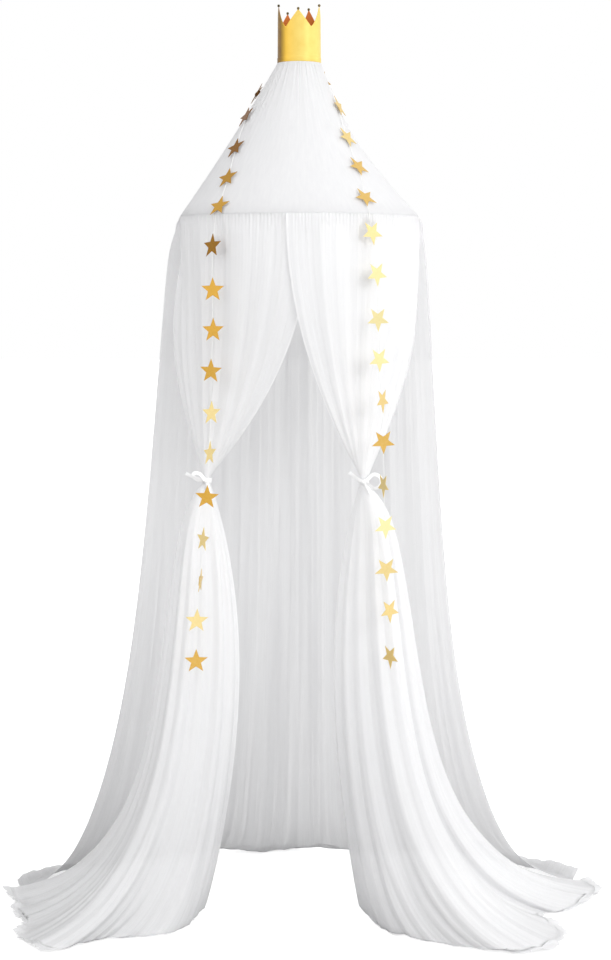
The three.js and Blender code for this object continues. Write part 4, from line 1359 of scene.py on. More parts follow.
@dataclass
class Garland:
    """Threads and stars."""

    thread_radius: float = 0.0006
    star_width: float = 0.058
    star_inner_share: float = 0.42
    plate_back: float = 0.0019
    plate_front: float = 0.0031
    bevel: float = 0.00025
    tape_half_width: float = 0.0036
    tape_half_length: float = 0.0115
    tape_rise: float = 0.0036
    tape_bend: float = 0.0016
    tape_thickness: float = 0.00025
    tape_spans: int = 12
    edge_steps: int = 6
    left_route: tuple[Triple, ...] = (
        (-201.6, -226.2, -463), (-204.4, -241, -508), (-207.5, -247.3, -542), (-209, -253, -576),
        (-209, -255, -647), (-209, -256, -744), (-213, -252, -843), (-215, -253, -945),
        (-220, -254.5, -1043), (-225.5, -256.5, -1151), (-233.5, -260, -1255),
        (-244, -265, -1357), (-252, -270.5, -1455), (-254, -275, -1555), (-254.6, -276.2, -1592),
    )
    right_route: tuple[Triple, ...] = (
        (168.4, -251.8, -463), (171, -261.5, -485), (174.5, -266.5, -511), (179, -271, -543),
        (186, -270.5, -609), (191.5, -271, -717), (192.5, -272, -814), (200, -273, -913),
        (204, -274, -1013), (207, -275.5, -1119), (209.5, -277.5, -1220), (213, -280.5, -1325),
        (220, -284.5, -1427), (225, -289, -1540), (226, -290, -1576),
    )
    marks: str = "..*.**********."
    cone_route: tuple[tuple[float, float], ...] = (
        (0.992, -0.1148), (0.968, -0.113), (0.88, -0.119), (0.782, -0.126), (0.68, -0.137),
        (0.58, -0.1505), (0.47, -0.168), (0.363, -0.1909), (0.275, -0.222), (0.201, -0.2607),
        (0.148, -0.305), (0.112, -0.36), (0.092, -0.43), (0.084, -0.5), (0.09, -0.568),
        (0.108, -0.638), (0.145, -0.7), (0.215, -0.758), (0.297, -0.8076), (0.4, -0.84),
        (0.512, -0.8599), (0.61, -0.87), (0.709, -0.8785), (0.81, -0.89), (0.916, -0.9019),
        (0.985, -0.906),
    )
    cone_marks: str = ".*.*.*.*.*..*..*..*.*.*.*."
    lift: float = 0.00356
    left_turns: tuple[float, ...] = (-42, 22, 30, -22, 44, 62, 4, -57, 83, 17, 12)
    right_turns: tuple[float, ...] = (34, 34, -29, 32, 59, 10, -66, 23, 5, 38, -53)
    # painted reflections: each star's foil tone, from deep gold 0 to pale gold 1, stands in for the
    # light it catches
    left_reflection_tones: tuple[float, ...] = (0.14, 0.46, 0.46, 0.5, 0.85, 0.82, 0.5, 0.8, 0.7, 0.85, 0.55)
    right_reflection_tones: tuple[float, ...] = (0.88, 0.96, 1, 0.96, 0.75, 0.58, 0.8, 1, 0.82, 0.78, 0.72)
    cone_reflection_tones: tuple[float, ...] = (0.42, 0.3, 0.06, 0.0, 0.05, 0.4, 0.5, 0.72, 0.78, 0.62, 0.62)

    def corners_with_stars(self, marks: str) -> list[int]:
        """Corners of a route that carry a star."""
        return [i for i, mark in enumerate(marks) if mark == "*"]

    def star_radius(self) -> float:
        """From a star's middle to its points."""
        return self.star_width / (2 * math.sin(2 * math.pi / 5))

    def star_rim(self) -> Array:
        """Outline of a star, its top point first, with a few points on each edge."""
        outer = self.star_radius()
        radii = [outer, outer * self.star_inner_share] * 6
        turns = [math.pi / 2 + k * math.pi / 5 for k in range(11)]
        ends = [np.array([r * math.cos(a), r * math.sin(a)]) for r, a in zip(radii, turns)]
        shares = np.arange(self.edge_steps) / self.edge_steps
        return np.asarray([mix(p, q, t) for p, q in zip(ends, ends[1:]) for t in shares])

    def tape(self, base: int) -> tuple[list[Triple], list[list[int]]]:
        """The strip of tape that holds a star on the thread.

        Args:
            base: number of its first point.

        Returns:
            Points and faces.
        """
        spans, row = self.tape_spans, self.tape_spans + 1
        arch = []
        for i in range(row):
            x = mix(-self.tape_half_width, self.tape_half_width, i / spans)
            rise = self.tape_rise * math.exp(-((x / self.tape_bend) ** 2))
            arch.append((x, self.plate_back - 0.0001 - rise))
        points, faces = [], []
        for y in (-self.tape_half_length, self.tape_half_length):
            points += [(x, y, z) for x, z in arch]
            points += [(x, y, z - self.tape_thickness) for x, z in arch]
        for i in range(spans):
            for layer in (0, row):
                a, b = base + layer + i, base + 2 * row + layer + i
                quad = [a, a + 1, b + 1, b]
                faces.append(quad if layer else quad[::-1])
            for end in (0, 2 * row):
                a, b = base + end + i, base + end + row + i
                quad = [a, a + 1, b + 1, b]
                faces.append(quad[::-1] if end else quad)
        for i in (0, spans):
            a, b = base + i, base + 2 * row + i
            quad = [a, b, b + row, a + row]
            faces.append(quad if i == 0 else quad[::-1])
        return points, faces

    def star_mesh(
        self, name: str, at: Array, up: Array, face: Array, tone: float
    ) -> Mesh:
        """One star: a bevelled foil card with a strip of tape over the thread at its back.

        Args:
            name: the mesh's name.
            at: where the thread passes its middle.
            up: the way its top point looks, along the thread.
            face: the way it faces.
            tone: painted reflection, from deep gold 0 to pale gold 1.

        Returns:
            The mesh.
        """
        rim, outer = self.star_rim(), self.star_radius()
        bevel, back, front = self.bevel, self.plate_back, self.plate_front
        shrink = 1 - 2.2 * bevel / outer
        loops = [(0.5, back), (shrink, back), (1.0, back + bevel)]
        loops += [(1.0, front - bevel), (shrink, front), (0.5, front)]
        n, rings = len(rim), len(loops)
        points, faces = [], ring_faces(rings, n)
        for share, z in loops:
            points += [(x * share, y * share, z) for x, y in rim]
        points += [(0, 0, back), (0, 0, front)]
        for j in range(n):
            k = (j + 1) % n
            faces.append([rings * n, k, j])
            faces.append([rings * n + 1, (rings - 1) * n + j, (rings - 1) * n + k])
        tape, tape_faces = self.tape(len(points))
        points += tape
        faces += tape_faces
        side = unit(np.cross(up, face))
        out = np.cross(side, up)
        local = np.asarray(points, dtype=float)
        placed = at + local[:, :1] * side + local[:, 1:2] * up + local[:, 2:] * out
        mesh = mesh_of(name, placed, faces)
        mesh.polygons.foreach_set("use_smooth", [False] * len(mesh.polygons))
        # the star's painted reflection tone
        attribute = mesh.attributes.new("tone", "FLOAT", "POINT")
        attribute.data.foreach_set("value", [tone] * len(mesh.vertices))
        return mesh

    def direction(self, route: Array, i: int) -> Array:
        """Direction of a route at one of its corners."""
        return unit(route[min(i + 1, len(route) - 1)] - route[max(i - 1, 0)])

    def build_hanging(self, hand: Hand) -> None:
        """Build one hanging stretch: thread, knot and eleven stars."""
        route = np.asarray(self.left_route if hand is Hand.LEFT else self.right_route) / 1000
        turns = self.left_turns if hand is Hand.LEFT else self.right_turns
        reflection_tones = self.left_reflection_tones if hand is Hand.LEFT else self.right_reflection_tones
        body = f"garland_{hand.word}"
        for i, corner in enumerate(self.corners_with_stars(self.marks)):
            number = f"{i + 1:02d}"
            up = self.direction(route, corner) * (-1 if hand is Hand.LEFT else 1)
            turn = math.radians(turns[i])
            face = np.array([math.sin(turn), -math.cos(turn), 0.0])
            name = f"card_star_{hand.word}_{number}"
            mesh = self.star_mesh(name, route[corner], up, face, reflection_tones[i])
            node = f"star_{hand.word}_{number}"
            add_piece(name, mesh, FOIL, f"{node}_body", [node])
        path = spline_through(route, 2)
        name = f"hanging_thread_{hand.word}"
        mesh = tube_mesh(name, path, self.thread_radius, 10)
        thread = add_piece(name, mesh, THREAD, body, [f"garland_thread_{hand.word}"])
        name = f"thread_knot_{hand.word}"
        knot = add_piece(name, self.knot_mesh(name, path[-1]), THREAD, body)

    def build_on_cone(self, cone: Cone) -> None:
        """The stretch that lies on the cone, with eleven stars."""
        places = [(share, 360 * turn) for share, turn in self.cone_route]
        laid = [
            cone.place(share, degrees) + self.lift * cone.normal(min(share, 0.97), degrees)
            for share, degrees in places
        ]
        ends = [np.asarray(self.left_route[0]) / 1000, np.asarray(self.right_route[0]) / 1000]
        route = np.asarray([ends[0], *laid, ends[1]])
        path = spline_through(route, 4)
        name = "thread_on_cone"
        mesh = tube_mesh(name, path, self.thread_radius, 10)
        add_piece(name, mesh, THREAD, "canopy", ["garland_thread_top"])
        for i, corner in enumerate(self.corners_with_stars(self.cone_marks)):
            number = f"{i + 1:02d}"
            up = self.direction(route, corner + 1)
            share, degrees = places[corner]
            face = cone.normal(share, degrees)
            name = f"card_star_cone_{number}"
            mesh = self.star_mesh(name, laid[corner], up, face, self.cone_reflection_tones[i])
            add_piece(name, mesh, FOIL, "canopy", [f"star_cone_{number}"])

    def knot_mesh(self, name: str, at: Array) -> Mesh:
        """A small overhand knot: a trefoil of thread."""
        turn = np.linspace(0, 2 * math.pi, 48, endpoint=False)
        x = np.sin(turn) + 2 * np.sin(2 * turn)
        z = np.cos(turn) - 2 * np.cos(2 * turn)
        path = np.stack([x, -np.sin(3 * turn), z], axis=1) * (self.thread_radius * 0.57)
        place = at + np.array([0, 0, -0.0004])
        return tube_mesh(name, path + place, self.thread_radius * 0.8, 8, True)


@dataclass
class Studio:
    """Floor, backdrop, lamps and camera."""

    camera_place: Triple = (0.0157, -4.5, -0.610)
    camera_tilt: float = 83.3
    lens: float = 65.625
    sensor_height: float = 36.0
    floor_half: float = 30.0
    floor_gap: float = 0.0004
    floor_glow: float = 0.55
    room_level: float = 1.01
    room_slope: Triple = (0.56, -0.62, 0.0)

    def build_camera(self) -> None:
        """The photograph's view."""
        camera = bpy.data.cameras.new("camera")
        camera.sensor_fit = "VERTICAL"
        camera.sensor_height = self.sensor_height
        camera.lens = self.lens
        camera.clip_end = 60
        holder = bpy.data.objects.new("camera", camera)
        holder.location = self.camera_place
        holder.rotation_euler = (math.radians(self.camera_tilt), 0, 0)
        bpy.context.scene.collection.objects.link(holder)
        bpy.context.scene.camera = holder

    def build_floor(self) -> None:
        """A pale floor that keeps the object's shadow."""
        half, z = self.floor_half, FLOOR_Z - self.floor_gap
        corners = [(-half, -half, z), (half, -half, z), (half, half, z), (-half, half, z)]
        mesh = mesh_of("floor", corners, [[0, 1, 2, 3]])
        floor = bpy.data.objects.new("floor", mesh)
        bpy.context.scene.collection.objects.link(floor)
        shader = Shader("floor")
        shader.set(Base_Color=(0.95, 0.95, 0.95, 1), Roughness=0.95, Specular_IOR_Level=0.0)
        shader.set(Emission_Color=(1, 1, 1, 1))
        glow = shader.math("MULTIPLY", shader.background_share(), self.floor_glow)
        shader.join(glow, shader.skin.inputs["Emission Strength"])
        mesh.materials.append(shader.material)

    def build_world(self) -> None:
        """White surroundings, whose light is strongest from the right, where the window is."""
        world = bpy.data.worlds.new("studio")
        bpy.context.scene.world = world
        world.use_nodes = True
        tree = Nodes(world.node_tree)
        toward = tree.dot(tree.add("ShaderNodeTexCoord").outputs["Generated"])
        toward.inputs[1].default_value = self.room_slope
        room = tree.math("ADD", toward.outputs["Value"], self.room_level)
        level = tree.add("ShaderNodeMapRange")
        level.inputs["To Max"].default_value = 1.0
        tree.join(room, level.inputs["To Min"])
        tree.join(tree.background_share(), level.inputs["Value"])
        sky = tree.nodes["Background"]
        sky.inputs["Color"].default_value = (1, 1, 1, 1)
        tree.join(level.outputs["Result"], sky.inputs["Strength"])

    def add_lamp(
        self, name: str, place: Sequence[float], aim: Sequence[float], size: float, power: float
    ) -> None:
        """One square softbox.

        Args:
            name: the lamp's name.
            place: where it stands.
            aim: what it looks at.
            size: its side.
            power: its watts.
        """
        lamp = bpy.data.lights.new(name, "AREA")
        lamp.size = size
        lamp.energy = power
        holder = bpy.data.objects.new(name, lamp)
        holder.location = place
        look = Vector(aim) - Vector(place)
        holder.rotation_euler = look.to_track_quat("-Z", "Y").to_euler()
        bpy.context.scene.collection.objects.link(holder)

    def build(self) -> None:
        """Stage, lamps and colour settings."""
        scene = bpy.context.scene
        scene.view_settings.view_transform = "Standard"
        scene.cycles.transparent_max_bounces = 40
        self.build_floor()
        self.build_world()
        self.add_lamp("key", (3.1, -3.0, 0.9), (0, 0, -0.6), 1.6, 44)
        self.add_lamp("left fill", (-2.3, -1.5, 0.6), (0, 0, -0.4), 1.2, 13)
        self.add_lamp("window", (3.4, 0.5, 0.3), (0.3, 0, -1.0), 1.6, 14)


@dataclass(frozen=True)
class HemLine:
    """A hem on the floor: a smooth curve through shares of the trains' reach."""

    shares: tuple[tuple[float, float], ...]
    reach: float = 0.840
    divisions: int = 400

    def at(self, share: Array) -> Pair:
        """Plan places at shares of the hem's length.

        Args:
            share: from 0 to 1.

        Returns:
            x and y.
        """
        knots = np.asarray(self.shares) * self.reach
        spans = len(knots) - 1
        t = np.linspace(0, 1, self.divisions + 1) * spans
        i = np.minimum(t.astype(int), spans - 1)
        w = (t - i)[:, None]
        p0 = knots[np.where(i == 0, i, i - 1)]
        p1, p2 = knots[i], knots[np.minimum(i + 1, spans)]
        p3 = knots[np.minimum(i + 2, spans)]
        v0, v1 = (p2 - p0) * 0.5, (p3 - p1) * 0.5
        bend = -3 * p1 + 3 * p2 - 2 * v0 - v1
        line = (2 * p1 - 2 * p2 + v0 + v1) * w**3 + bend * w**2 + v0 * w + p1
        lengths = np.concatenate([[0], np.cumsum(np.linalg.norm(np.diff(line, axis=0), axis=1))])
        want = np.asarray(share) * lengths[-1]
        return np.interp(want, lengths, line[:, 0]), np.interp(want, lengths, line[:, 1])


@dataclass(frozen=True)
class Flare:
    """How far out the cloth has run for a share of its fall."""

    opening: float
    delay: float
    steady: float
    sweep: float
    sweep_power: int
    spread: float

    def at(self, fall: Array) -> Array:
        """Share of the way to the hem."""
        swept = self.sweep * fall**self.sweep_power + self.spread * fall**30
        return self.opening * (1 - np.exp(-fall / self.delay)) + self.steady * fall + swept


def fold_field(
    rng: np.random.Generator, share: Array, fall: Array, count: float, along: float
) -> Array:
    """Soft folds that start, wander, join and fade: seeded noise, drawn out down the cloth.

    Args:
        rng: seeded source.
        share: place across the cloth, one a column.
        fall: place down the cloth, one a row.
        count: half folds across the cloth.
        along: changes down the cloth.

    Returns:
        Heights from -1 to 1.
    """
    wide, tall = int(math.ceil(count)) + 5, int(math.ceil(along)) + 5
    knots = rng.uniform(-1, 1, (tall, wide))
    knots[:, 1::2] = np.abs(knots[:, 1::2])
    knots[:, ::2] = -np.abs(knots[:, ::2])
    x = np.clip(share, 0, 1) * count + 1
    y = np.clip(fall, 0, 1.5) / 1.5 * along + 1
    x, y = np.broadcast_arrays(x, y)
    i, j = np.floor(x).astype(int), np.floor(y).astype(int)
    out = np.zeros(x.shape)
    for dj in range(-1, 3):
        for di in range(-1, 3):
            out += cubic(x - i - di) * cubic(y - j - dj) * knots[j + dj, i + di]
    return out


def cubic(t: Array) -> Array:
    """Weight of a knot at a distance, for a smooth curve through the knots."""
    t = np.abs(t)
    near = 1.5 * t**3 - 2.5 * t**2 + 1
    far = -0.5 * t**3 + 2.5 * t**2 - 4 * t + 2
    return np.where(t < 1, near, np.where(t < 2, far, 0.0))


@dataclass
class FoldNoise:
    """One net's seeded folds, at uneven shares of its width."""

    rng: np.random.Generator
    share: Array

    def field(self, fall: Array, count: float, along: float) -> Array:
        """The next fold field; each call draws anew."""
        return fold_field(self.rng, self.share, fall, count, along)


def uneven(share: Array, rng: np.random.Generator, strength: float) -> Array:
    """Shares with their spacing made uneven, ends kept."""
    out = share.copy()
    for k in range(1, 9):
        out = out + strength / k * math.sin(rng.uniform(0, 6.28)) * np.sin(math.pi * k * share)
    return out


LEFT_HEM = HemLine(
    (
        (-0.965, 0.135), (-0.925, 0.035), (-0.897, -0.01), (-0.902, -0.07), (-0.86, -0.16),
        (-0.85, -0.29), (-0.74, -0.4), (-0.61, -0.32), (-0.5, -0.29), (-0.4, -0.275),
        (-0.34, -0.17), (-0.3, -0.04),
    )
)
RIGHT_HEM = HemLine(
    (
        (0.95, 0.215), (0.985, 0.13), (0.935, 0.045), (0.865, -0.05), (0.76, -0.11),
        (0.81, -0.25), (0.74, -0.385), (0.6, -0.41), (0.43, -0.345), (0.32, -0.27),
        (0.232, -0.173), (0.188, -0.01),
    )
)
BACK_HEM = HemLine(
    (
        (0.93, 0.29), (0.89, 0.36), (0.78, 0.43), (0.55, 0.5), (0.3, 0.53), (0, 0.54),
        (-0.25, 0.53), (-0.5, 0.47), (-0.75, 0.37), (-0.89, 0.29), (-0.93, 0.21),
    )
)


@dataclass
class Net:
    """Common make-up of the three nets."""

    name: str
    node: str
    hem: HemLine
    folds: int
    seed: int
    columns: int = 700
    fold_depth: float = 0.011
    main: float = 0.45
    fold_sets: tuple[Triple, ...] = ((9, 2, 0.30), (23, 3, 0.26), (57, 4, 0.2), (131, 6, 0.12))
    gather: float = 1.0
    heading_flare: float = 0.004
    heading_drop: float = 0.05
    top_ruffle: float = 0.002
    floor_lift: float = 0.0016
    ruffle: float = 0.016
    ragged: float = 0.017
    hem_share: float = 0.012
    unevenness: float = 0.012
    floor_share: float = 0.25
    crumple: float = 0.0026
    pinches: tuple[Triple, ...] = ((150, 0.55, 0.022), (64, 0.4, 0.06))
    ruffle_sets: tuple[tuple[float, float], ...] = ((13, 0.55), (31, 0.3), (67, 0.15))
    ragged_sets: tuple[tuple[float, float], ...] = ((12, 0.5), (37, 0.45), (90, 0.35), (170, 0.2))
    heading_gap: float = 0.0016
    heading_lift: float = 0.0092
    heading_pinch: float = 0.0014
    finish: Finish = NET

    def hanging(self, share: Array, z: Array) -> Pair:
        """Plan places of the net's middle at a level."""
        raise NotImplementedError

    def levels(self) -> Array:
        """Heights of the hanging rows."""
        raise NotImplementedError

    def fold_share(self, z: Array) -> Array:
        """Depth of the main folds at a level."""
        raise NotImplementedError

    def fine_share(self, z: Array) -> Array:
        """Depth of the fine folds at a level, as a share of full."""
        raise NotImplementedError

    def grid(self) -> tuple[Array, Array, Array, Array]:
        """Middle surface before its folds.

        Returns:
            Points, shares across, level of each row, and share of the floor stretch of each row.
        """
        share = np.linspace(0, 1, self.columns)[None, :]
        z = self.levels()[:, None]
        x, y = self.hanging(share, z)
        level = FLOOR_Z + self.floor_lift
        hung = np.stack([x, y, np.broadcast_to(np.maximum(z, level), x.shape)], axis=-1)
        along = np.linspace(0, 1, 26)[1:, None]
        x0, y0 = self.hanging(share, np.array([[FLOOR_Z]]))
        x1, y1 = self.hem.at(share[0])
        fx, fy = mix(x0, x1[None], along), mix(y0, y1[None], along)
        lying = np.stack([fx, fy, np.full_like(fx, level)], axis=-1)
        points = np.concatenate([hung, lying])
        floor = np.concatenate([np.zeros(len(z)), along[:, 0]])
        return points, share, np.concatenate([z[:, 0], np.full(len(along), FLOOR_Z)]), floor

    def fold_heights(
        self, noise: FoldNoise, skin: Skin, share: Array, z: Array, fall: Array
    ) -> Array:
        """How far the folds stand out of the middle surface.

        Args:
            noise: the net's seeded folds.
            skin: the middle surface.
            share: place across the net.
            z: level of each row.
            fall: place down the cloth, one a row.

        Returns:
            The height of each point.
        """
        calm = smooth(np.minimum(share, 1 - share) / 0.06 + 0.1)
        pitch = skin.pitch()
        folds = np.sin(2 * math.pi * self.folds * noise.share)
        height = self.fold_share(z)[:, None] * folds * calm * self.main
        fine = self.fine_share(z)[:, None]
        for count, along, slope in self.fold_sets:
            field = noise.field(fall, count, along)
            height = height + slope * pitch / (math.pi * count) * field * fine * calm
        crumple = noise.field(fall, 41, 24)
        height = height + self.crumple * crumple * smooth((fall - 0.8) / 0.15) * calm
        # pinched gathers under the hoop, which soon open out
        drop = (NET_TOP_Z - z)[:, None]
        for count, slope, reach in self.pinches:
            count = count * self.gather
            field = noise.field(fall, count, 2) * np.exp(-drop / reach)
            height = height + slope * pitch / (math.pi * count) * field * calm
        return height

    def lay_down(
        self, noise: FoldNoise, points: Array, outward: Array, fall: Array, floor: Array
    ) -> None:
        """Ruffle what lies on the floor, above it, and make the hem ragged.

        Args:
            noise: the net's seeded folds.
            points: the folded grid, changed in place.
            outward: the way that the hem runs out, for each column.
            fall: place down the cloth, one a row.
            floor: share of the floor stretch of each row.
        """
        lift = np.zeros(points.shape[:2])
        for count, size in self.ruffle_sets:
            lift += size * (0.5 + 0.5 * noise.field(fall, count, 9))
        lift = np.clip(lift, 0.02, 1.2) * self.ruffle * smooth((fall - 0.93) / 0.1)
        points[..., 2] = np.maximum(points[..., 2], FLOOR_Z + self.floor_lift * 0.5) + lift
        ragged = np.zeros_like(noise.share)
        for count, size in self.ragged_sets:
            ragged = ragged + size * noise.field(np.zeros((1, 1)), count, 1)
        reach = (floor**2)[:, None, None] * ragged[0][None, :, None] * self.ragged
        points += outward[None] * reach

    def build(self) -> None:
        """Fold the grid and add it."""
        rng = np.random.default_rng(self.seed)
        points, share, z, floor = self.grid()
        noise = FoldNoise(rng, uneven(share, rng, self.unevenness))
        drop = (NET_TOP_Z - z)[:, None]
        fall = drop / (NET_TOP_Z - FLOOR_Z) + self.floor_share * floor[:, None]
        height = self.fold_heights(noise, Skin(points), share, z, fall)
        hanging = 1 - smooth(floor / 0.3)[:, None]
        folded = Skin(points).pushed(height * hanging).points
        self.seat_heading(noise, folded, points, share, drop)
        outward = points[-1] - points[-8]
        outward /= np.maximum(np.linalg.norm(outward, axis=1, keepdims=True), 1e-6)
        self.lay_down(noise, folded, outward, fall, floor)
        self.clear(folded)
        mesh = Skin(folded).mesh(self.name)
        turned = 1 - smooth((np.minimum(share, 1 - share) / self.hem_share - 0.7) / 0.3)
        hem = mesh.attributes.new("hem", "FLOAT", "POINT")
        value = np.broadcast_to(turned, height.shape).astype(np.float32)
        hem.data.foreach_set("value", value.ravel())
        piece = add_piece(self.name, mesh, self.finish, "canopy", [self.node])
        self.declare(piece)

    def clear(self, points: Array) -> None:
        """Nothing moves in front of this net."""

    def lapping(self, share: Array) -> Values:
        """How far the heading lies outside its neighbour's."""
        return 0.0

    def seat_heading(
        self, noise: FoldNoise, points: Array, plain: Array, share: Array, drop: Array
    ) -> None:
        """Bring the top of the net up over the sleeve's face, to which it is sewn.

        Args:
            noise: the net's seeded folds.
            points: the folded grid, changed in place.
            plain: the grid before its folds.
            share: place across the net.
            drop: how far each row is under the top edge.
        """
        near = 1 - smooth(drop / self.heading_drop)
        radius = np.linalg.norm(points[..., :2], axis=2)
        fold = np.clip(radius - np.linalg.norm(plain[..., :2], axis=2), -0.005, 0.005)
        pinch = self.heading_pinch * noise.field(drop, 120 * self.gather, 1) * np.exp(-drop / 0.02)
        wanted = SLEEVE_RADIUS + self.heading_gap + pinch + fold * smooth(drop / 0.04)
        wanted = wanted + self.lapping(share) + self.heading_flare * smooth(drop / 0.02)
        scale = mix(radius, np.maximum(wanted, radius), near) / radius
        aside = smooth(np.abs(points[..., 0]) / 0.12)
        points[..., 0] *= mix(1, scale, aside)
        points[..., 1] *= scale
        points[..., 2] += self.heading_lift * (1 - smooth(drop / 0.03))

    def declare(self, piece: bpy.types.Object) -> None:
        """A last step for the finished piece, left to each kind of net; both kinds leave it empty.
        """
        raise NotImplementedError


PANEL_FLARE = Flare(0.09, 0.05, 0.28, 0.5, 6, 0.09)
BACK_FLARES = (Flare(0.045, 0.02, 0.245, 0.4, 5, 0.25), Flare(0.07, 0.02, 0.335, 0.36, 5, 0.18))


@dataclass
class FrontPanel(Net):
    """One front net, from its outer edge (share 0) to its free edge (share 1)."""

    finish: Finish = PANEL_NET
    heading_drop: float = 0.42
    heading_flare: float = 0.0
    main: float = 0.3
    fold_sets: tuple[Triple, ...] = ((9, 2, 0.22), (23, 3, 0.22), (57, 4, 0.2), (131, 6, 0.14))
    hand: Hand = Hand.LEFT
    waist: tuple[float, float] = (0.0, 0.0)
    bulge: float = 0.05
    lap: float = 0.009
    waist_radius: float = 0.010
    waist_arc: float = 285.0
    outer_angle: float = 94.0
    overlap_angle: float = 6.0
    swing: float = 0.052
    draw_power: float = 1.95
    first_star: Triple = (0.0, 0.0, 0.0)
    star_room: float = 0.0315

    def clear(self, points: Array) -> None:
        """Leave room behind the garland's first star, which turns on its thread.

        Args:
            points: the folded grid, changed in place.
        """
        x, y, z = self.first_star
        spare = self.star_room**2 - (points[..., 0] - x) ** 2 - (points[..., 2] - z) ** 2
        wanted = y + np.sqrt(np.maximum(spare, 0))
        points[..., 1] = np.where(spare > 0, np.maximum(points[..., 1], wanted), points[..., 1])

    def lapping(self, share: Array) -> Values:
        """The right panel lies over the left one."""
        return 0.007 * smooth((share - 0.7) / 0.15) if self.hand is Hand.RIGHT else 0.0

    def levels(self) -> Array:
        """Rows from the hoop to the waist, and from the waist to the floor."""
        up = NET_TOP_Z + (WAIST_TOP_Z - NET_TOP_Z) * np.linspace(0, 1, 90) ** 0.9
        share = 1 - (1 - np.linspace(0, 1, 120)) ** 1.15
        low = WAIST_BOTTOM_Z + (FLOOR_Z - WAIST_BOTTOM_Z) * share
        return np.concatenate([up, low])

    def hanging(self, share: Array, z: Array) -> Pair:
        """Plan places above and below the waist."""
        hand = self.hand.value
        turn = hand * mix(self.waist_arc / 2, -self.waist_arc / 2, share)
        wx, wy = around(self.waist_radius, turn)
        wx, wy = wx + self.waist[0], wy + self.waist[1]
        lap = self.lap * smooth((share - 0.75) / 0.15) if hand > 0 else 0.0
        turn = hand * mix(self.outer_angle, -self.overlap_angle, share)
        tx, ty = around(NET_TOP_RADIUS + lap, turn)
        fall = np.clip((NET_TOP_Z - z) / (NET_TOP_Z - WAIST_TOP_Z), 0, 1)
        draw = fall ** mix(1.9, self.draw_power, share)
        bulge = self.bulge * (1 - share) ** 3 * np.sin(math.pi * fall)
        ux, uy = mix(tx, wx, draw) + hand * bulge, mix(ty, wy, draw)
        below = np.clip((WAIST_BOTTOM_Z - z) / (WAIST_BOTTOM_Z - FLOOR_Z), 0, 1)
        hx, hy = self.hem.at(share[0])
        reach = PANEL_FLARE.at(below)
        swing = self.swing * share**2 * np.sin(math.pi * below**0.8)
        lx, ly = mix(wx, hx[None], reach) - hand * swing, mix(wy, hy[None], reach)
        upper = z > WAIST_TOP_Z
        return np.where(upper, ux, lx), np.where(upper, uy, ly)

    def fold_share(self, z: Array) -> Array:
        """Main folds grow, die at the waist and grow again."""
        fall = (NET_TOP_Z - z) / (NET_TOP_Z - WAIST_TOP_Z)
        upper = mix(self.top_ruffle, self.fold_depth * 0.6, fall) * smooth((1 - fall) / 0.3)
        below = (WAIST_BOTTOM_Z - z) / (WAIST_BOTTOM_Z - FLOOR_Z)
        lower = self.fold_depth * smooth((below - 0.02) / 0.25) * (1 - smooth((below - 0.8) / 0.2))
        return np.where(fall <= 1, upper, lower)

    def fine_share(self, z: Array) -> Array:
        """Fine folds everywhere, shallower in the waist."""
        near = np.abs(z - TIE_Z)
        return 0.35 + 0.65 * smooth(near / 0.12)

    def declare(self, piece: bpy.types.Object) -> None:
        """One gathered width of net; nothing is done with the piece."""


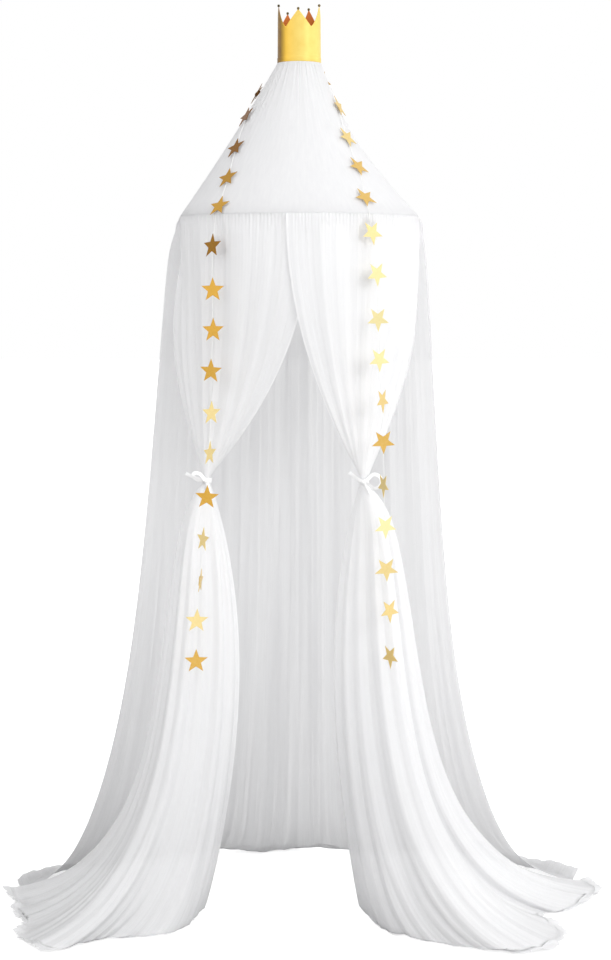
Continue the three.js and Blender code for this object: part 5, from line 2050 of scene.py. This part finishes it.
@dataclass
class BackNet(Net):
    """The net round the back, from its right front edge (share 0) to its left one."""

    outset: float = 0.014
    edge_angle: float = 84.0

    def levels(self) -> Array:
        """Rows from the hoop to the floor."""
        t = np.linspace(0, 1, 150)
        return NET_TOP_Z + (FLOOR_Z - NET_TOP_Z) * (1 - (1 - t) ** 1.2)

    def hanging(self, share: Array, z: Array) -> Pair:
        """Plan places from the hoop to the hem."""
        turn = mix(self.edge_angle, 360 - self.edge_angle, share)
        tx, ty = around(NET_TOP_RADIUS + self.outset, turn)
        fall = (NET_TOP_Z - z) / (NET_TOP_Z - FLOOR_Z)
        reach = mix(BACK_FLARES[0].at(fall), BACK_FLARES[1].at(fall), share)
        hx, hy = self.hem.at(share[0])
        # the middle is drawn in a little, and both ends are tucked under the trains
        hy = hy - 0.022 - 0.055 * smooth((np.abs(2 * share[0] - 1) - 0.78) / 0.2)
        return mix(tx, hx[None], reach), mix(ty, hy[None], reach)

    def fold_share(self, z: Array) -> Array:
        """Main folds grow down to the floor."""
        fall = (NET_TOP_Z - z) / (NET_TOP_Z - FLOOR_Z)
        depth = mix(self.top_ruffle, self.fold_depth, smooth(fall / 0.5))
        return depth * (1 - smooth((fall - 0.85) / 0.15))

    def fine_share(self, z: Array) -> Array:
        """Fine folds all the way down."""
        return np.full_like(z, 0.9)

    def declare(self, piece: bpy.types.Object) -> None:
        """The widest cut; nothing is done with the piece."""


def main() -> None:
    """Build the canopy's pieces in order."""
    logging.basicConfig(level=logging.INFO, format="%(message)s")
    studio = Studio()
    studio.build_camera()
    garland = Garland()
    for hand in Hand:
        garland.build_hanging(hand)
        log.info("hanging garland, %s", hand.word)
    cone = Cone()
    garland.build_on_cone(cone)
    log.info("garland on the cone")
    cone.build()
    log.info("cone cloth")
    hoop = Hoop()
    hoop.build_rods()
    hoop.build_sleeve()
    log.info("hoop and sleeve")
    Neck().build()
    log.info("neck")
    Crown().build()
    nets = [
        BackNet(
            "net_back", "back_net", BACK_HEM, 9, 5, columns=1000, gather=1.7, heading_flare=0.014
        ),
        FrontPanel(
            "net_left", "left_front_panel", LEFT_HEM, 8, 11,
            hand=Hand.LEFT, waist=WAIST_LEFT, bulge=0.052, swing=0.078, draw_power=2.15,
            first_star=(-0.2075, -0.2473, -0.542),
        ),
        FrontPanel(
            "net_right", "right_front_panel", RIGHT_HEM, 8, 17,
            hand=Hand.RIGHT, waist=WAIST_RIGHT, bulge=0.038, swing=0.068,
            first_star=(0.1745, -0.2665, -0.511),
        ),
    ]
    for net in nets:
        net.build()
        log.info("%s", net.name)
    ties = [
        Tie(Hand.LEFT, WAIST_LEFT, ((153, 0.036, 0.013),), ((160, 0.054), (285, 0.034))),
        Tie(Hand.RIGHT, WAIST_RIGHT, ((4, 0.043, 0.028),), ((147, 0.044), (300, 0.034))),
    ]
    for tie in ties:
        tie.build()
        log.info("ribbon, %s", tie.hand.word)
    studio.build()
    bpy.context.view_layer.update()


if __name__ == "__main__":
    main()
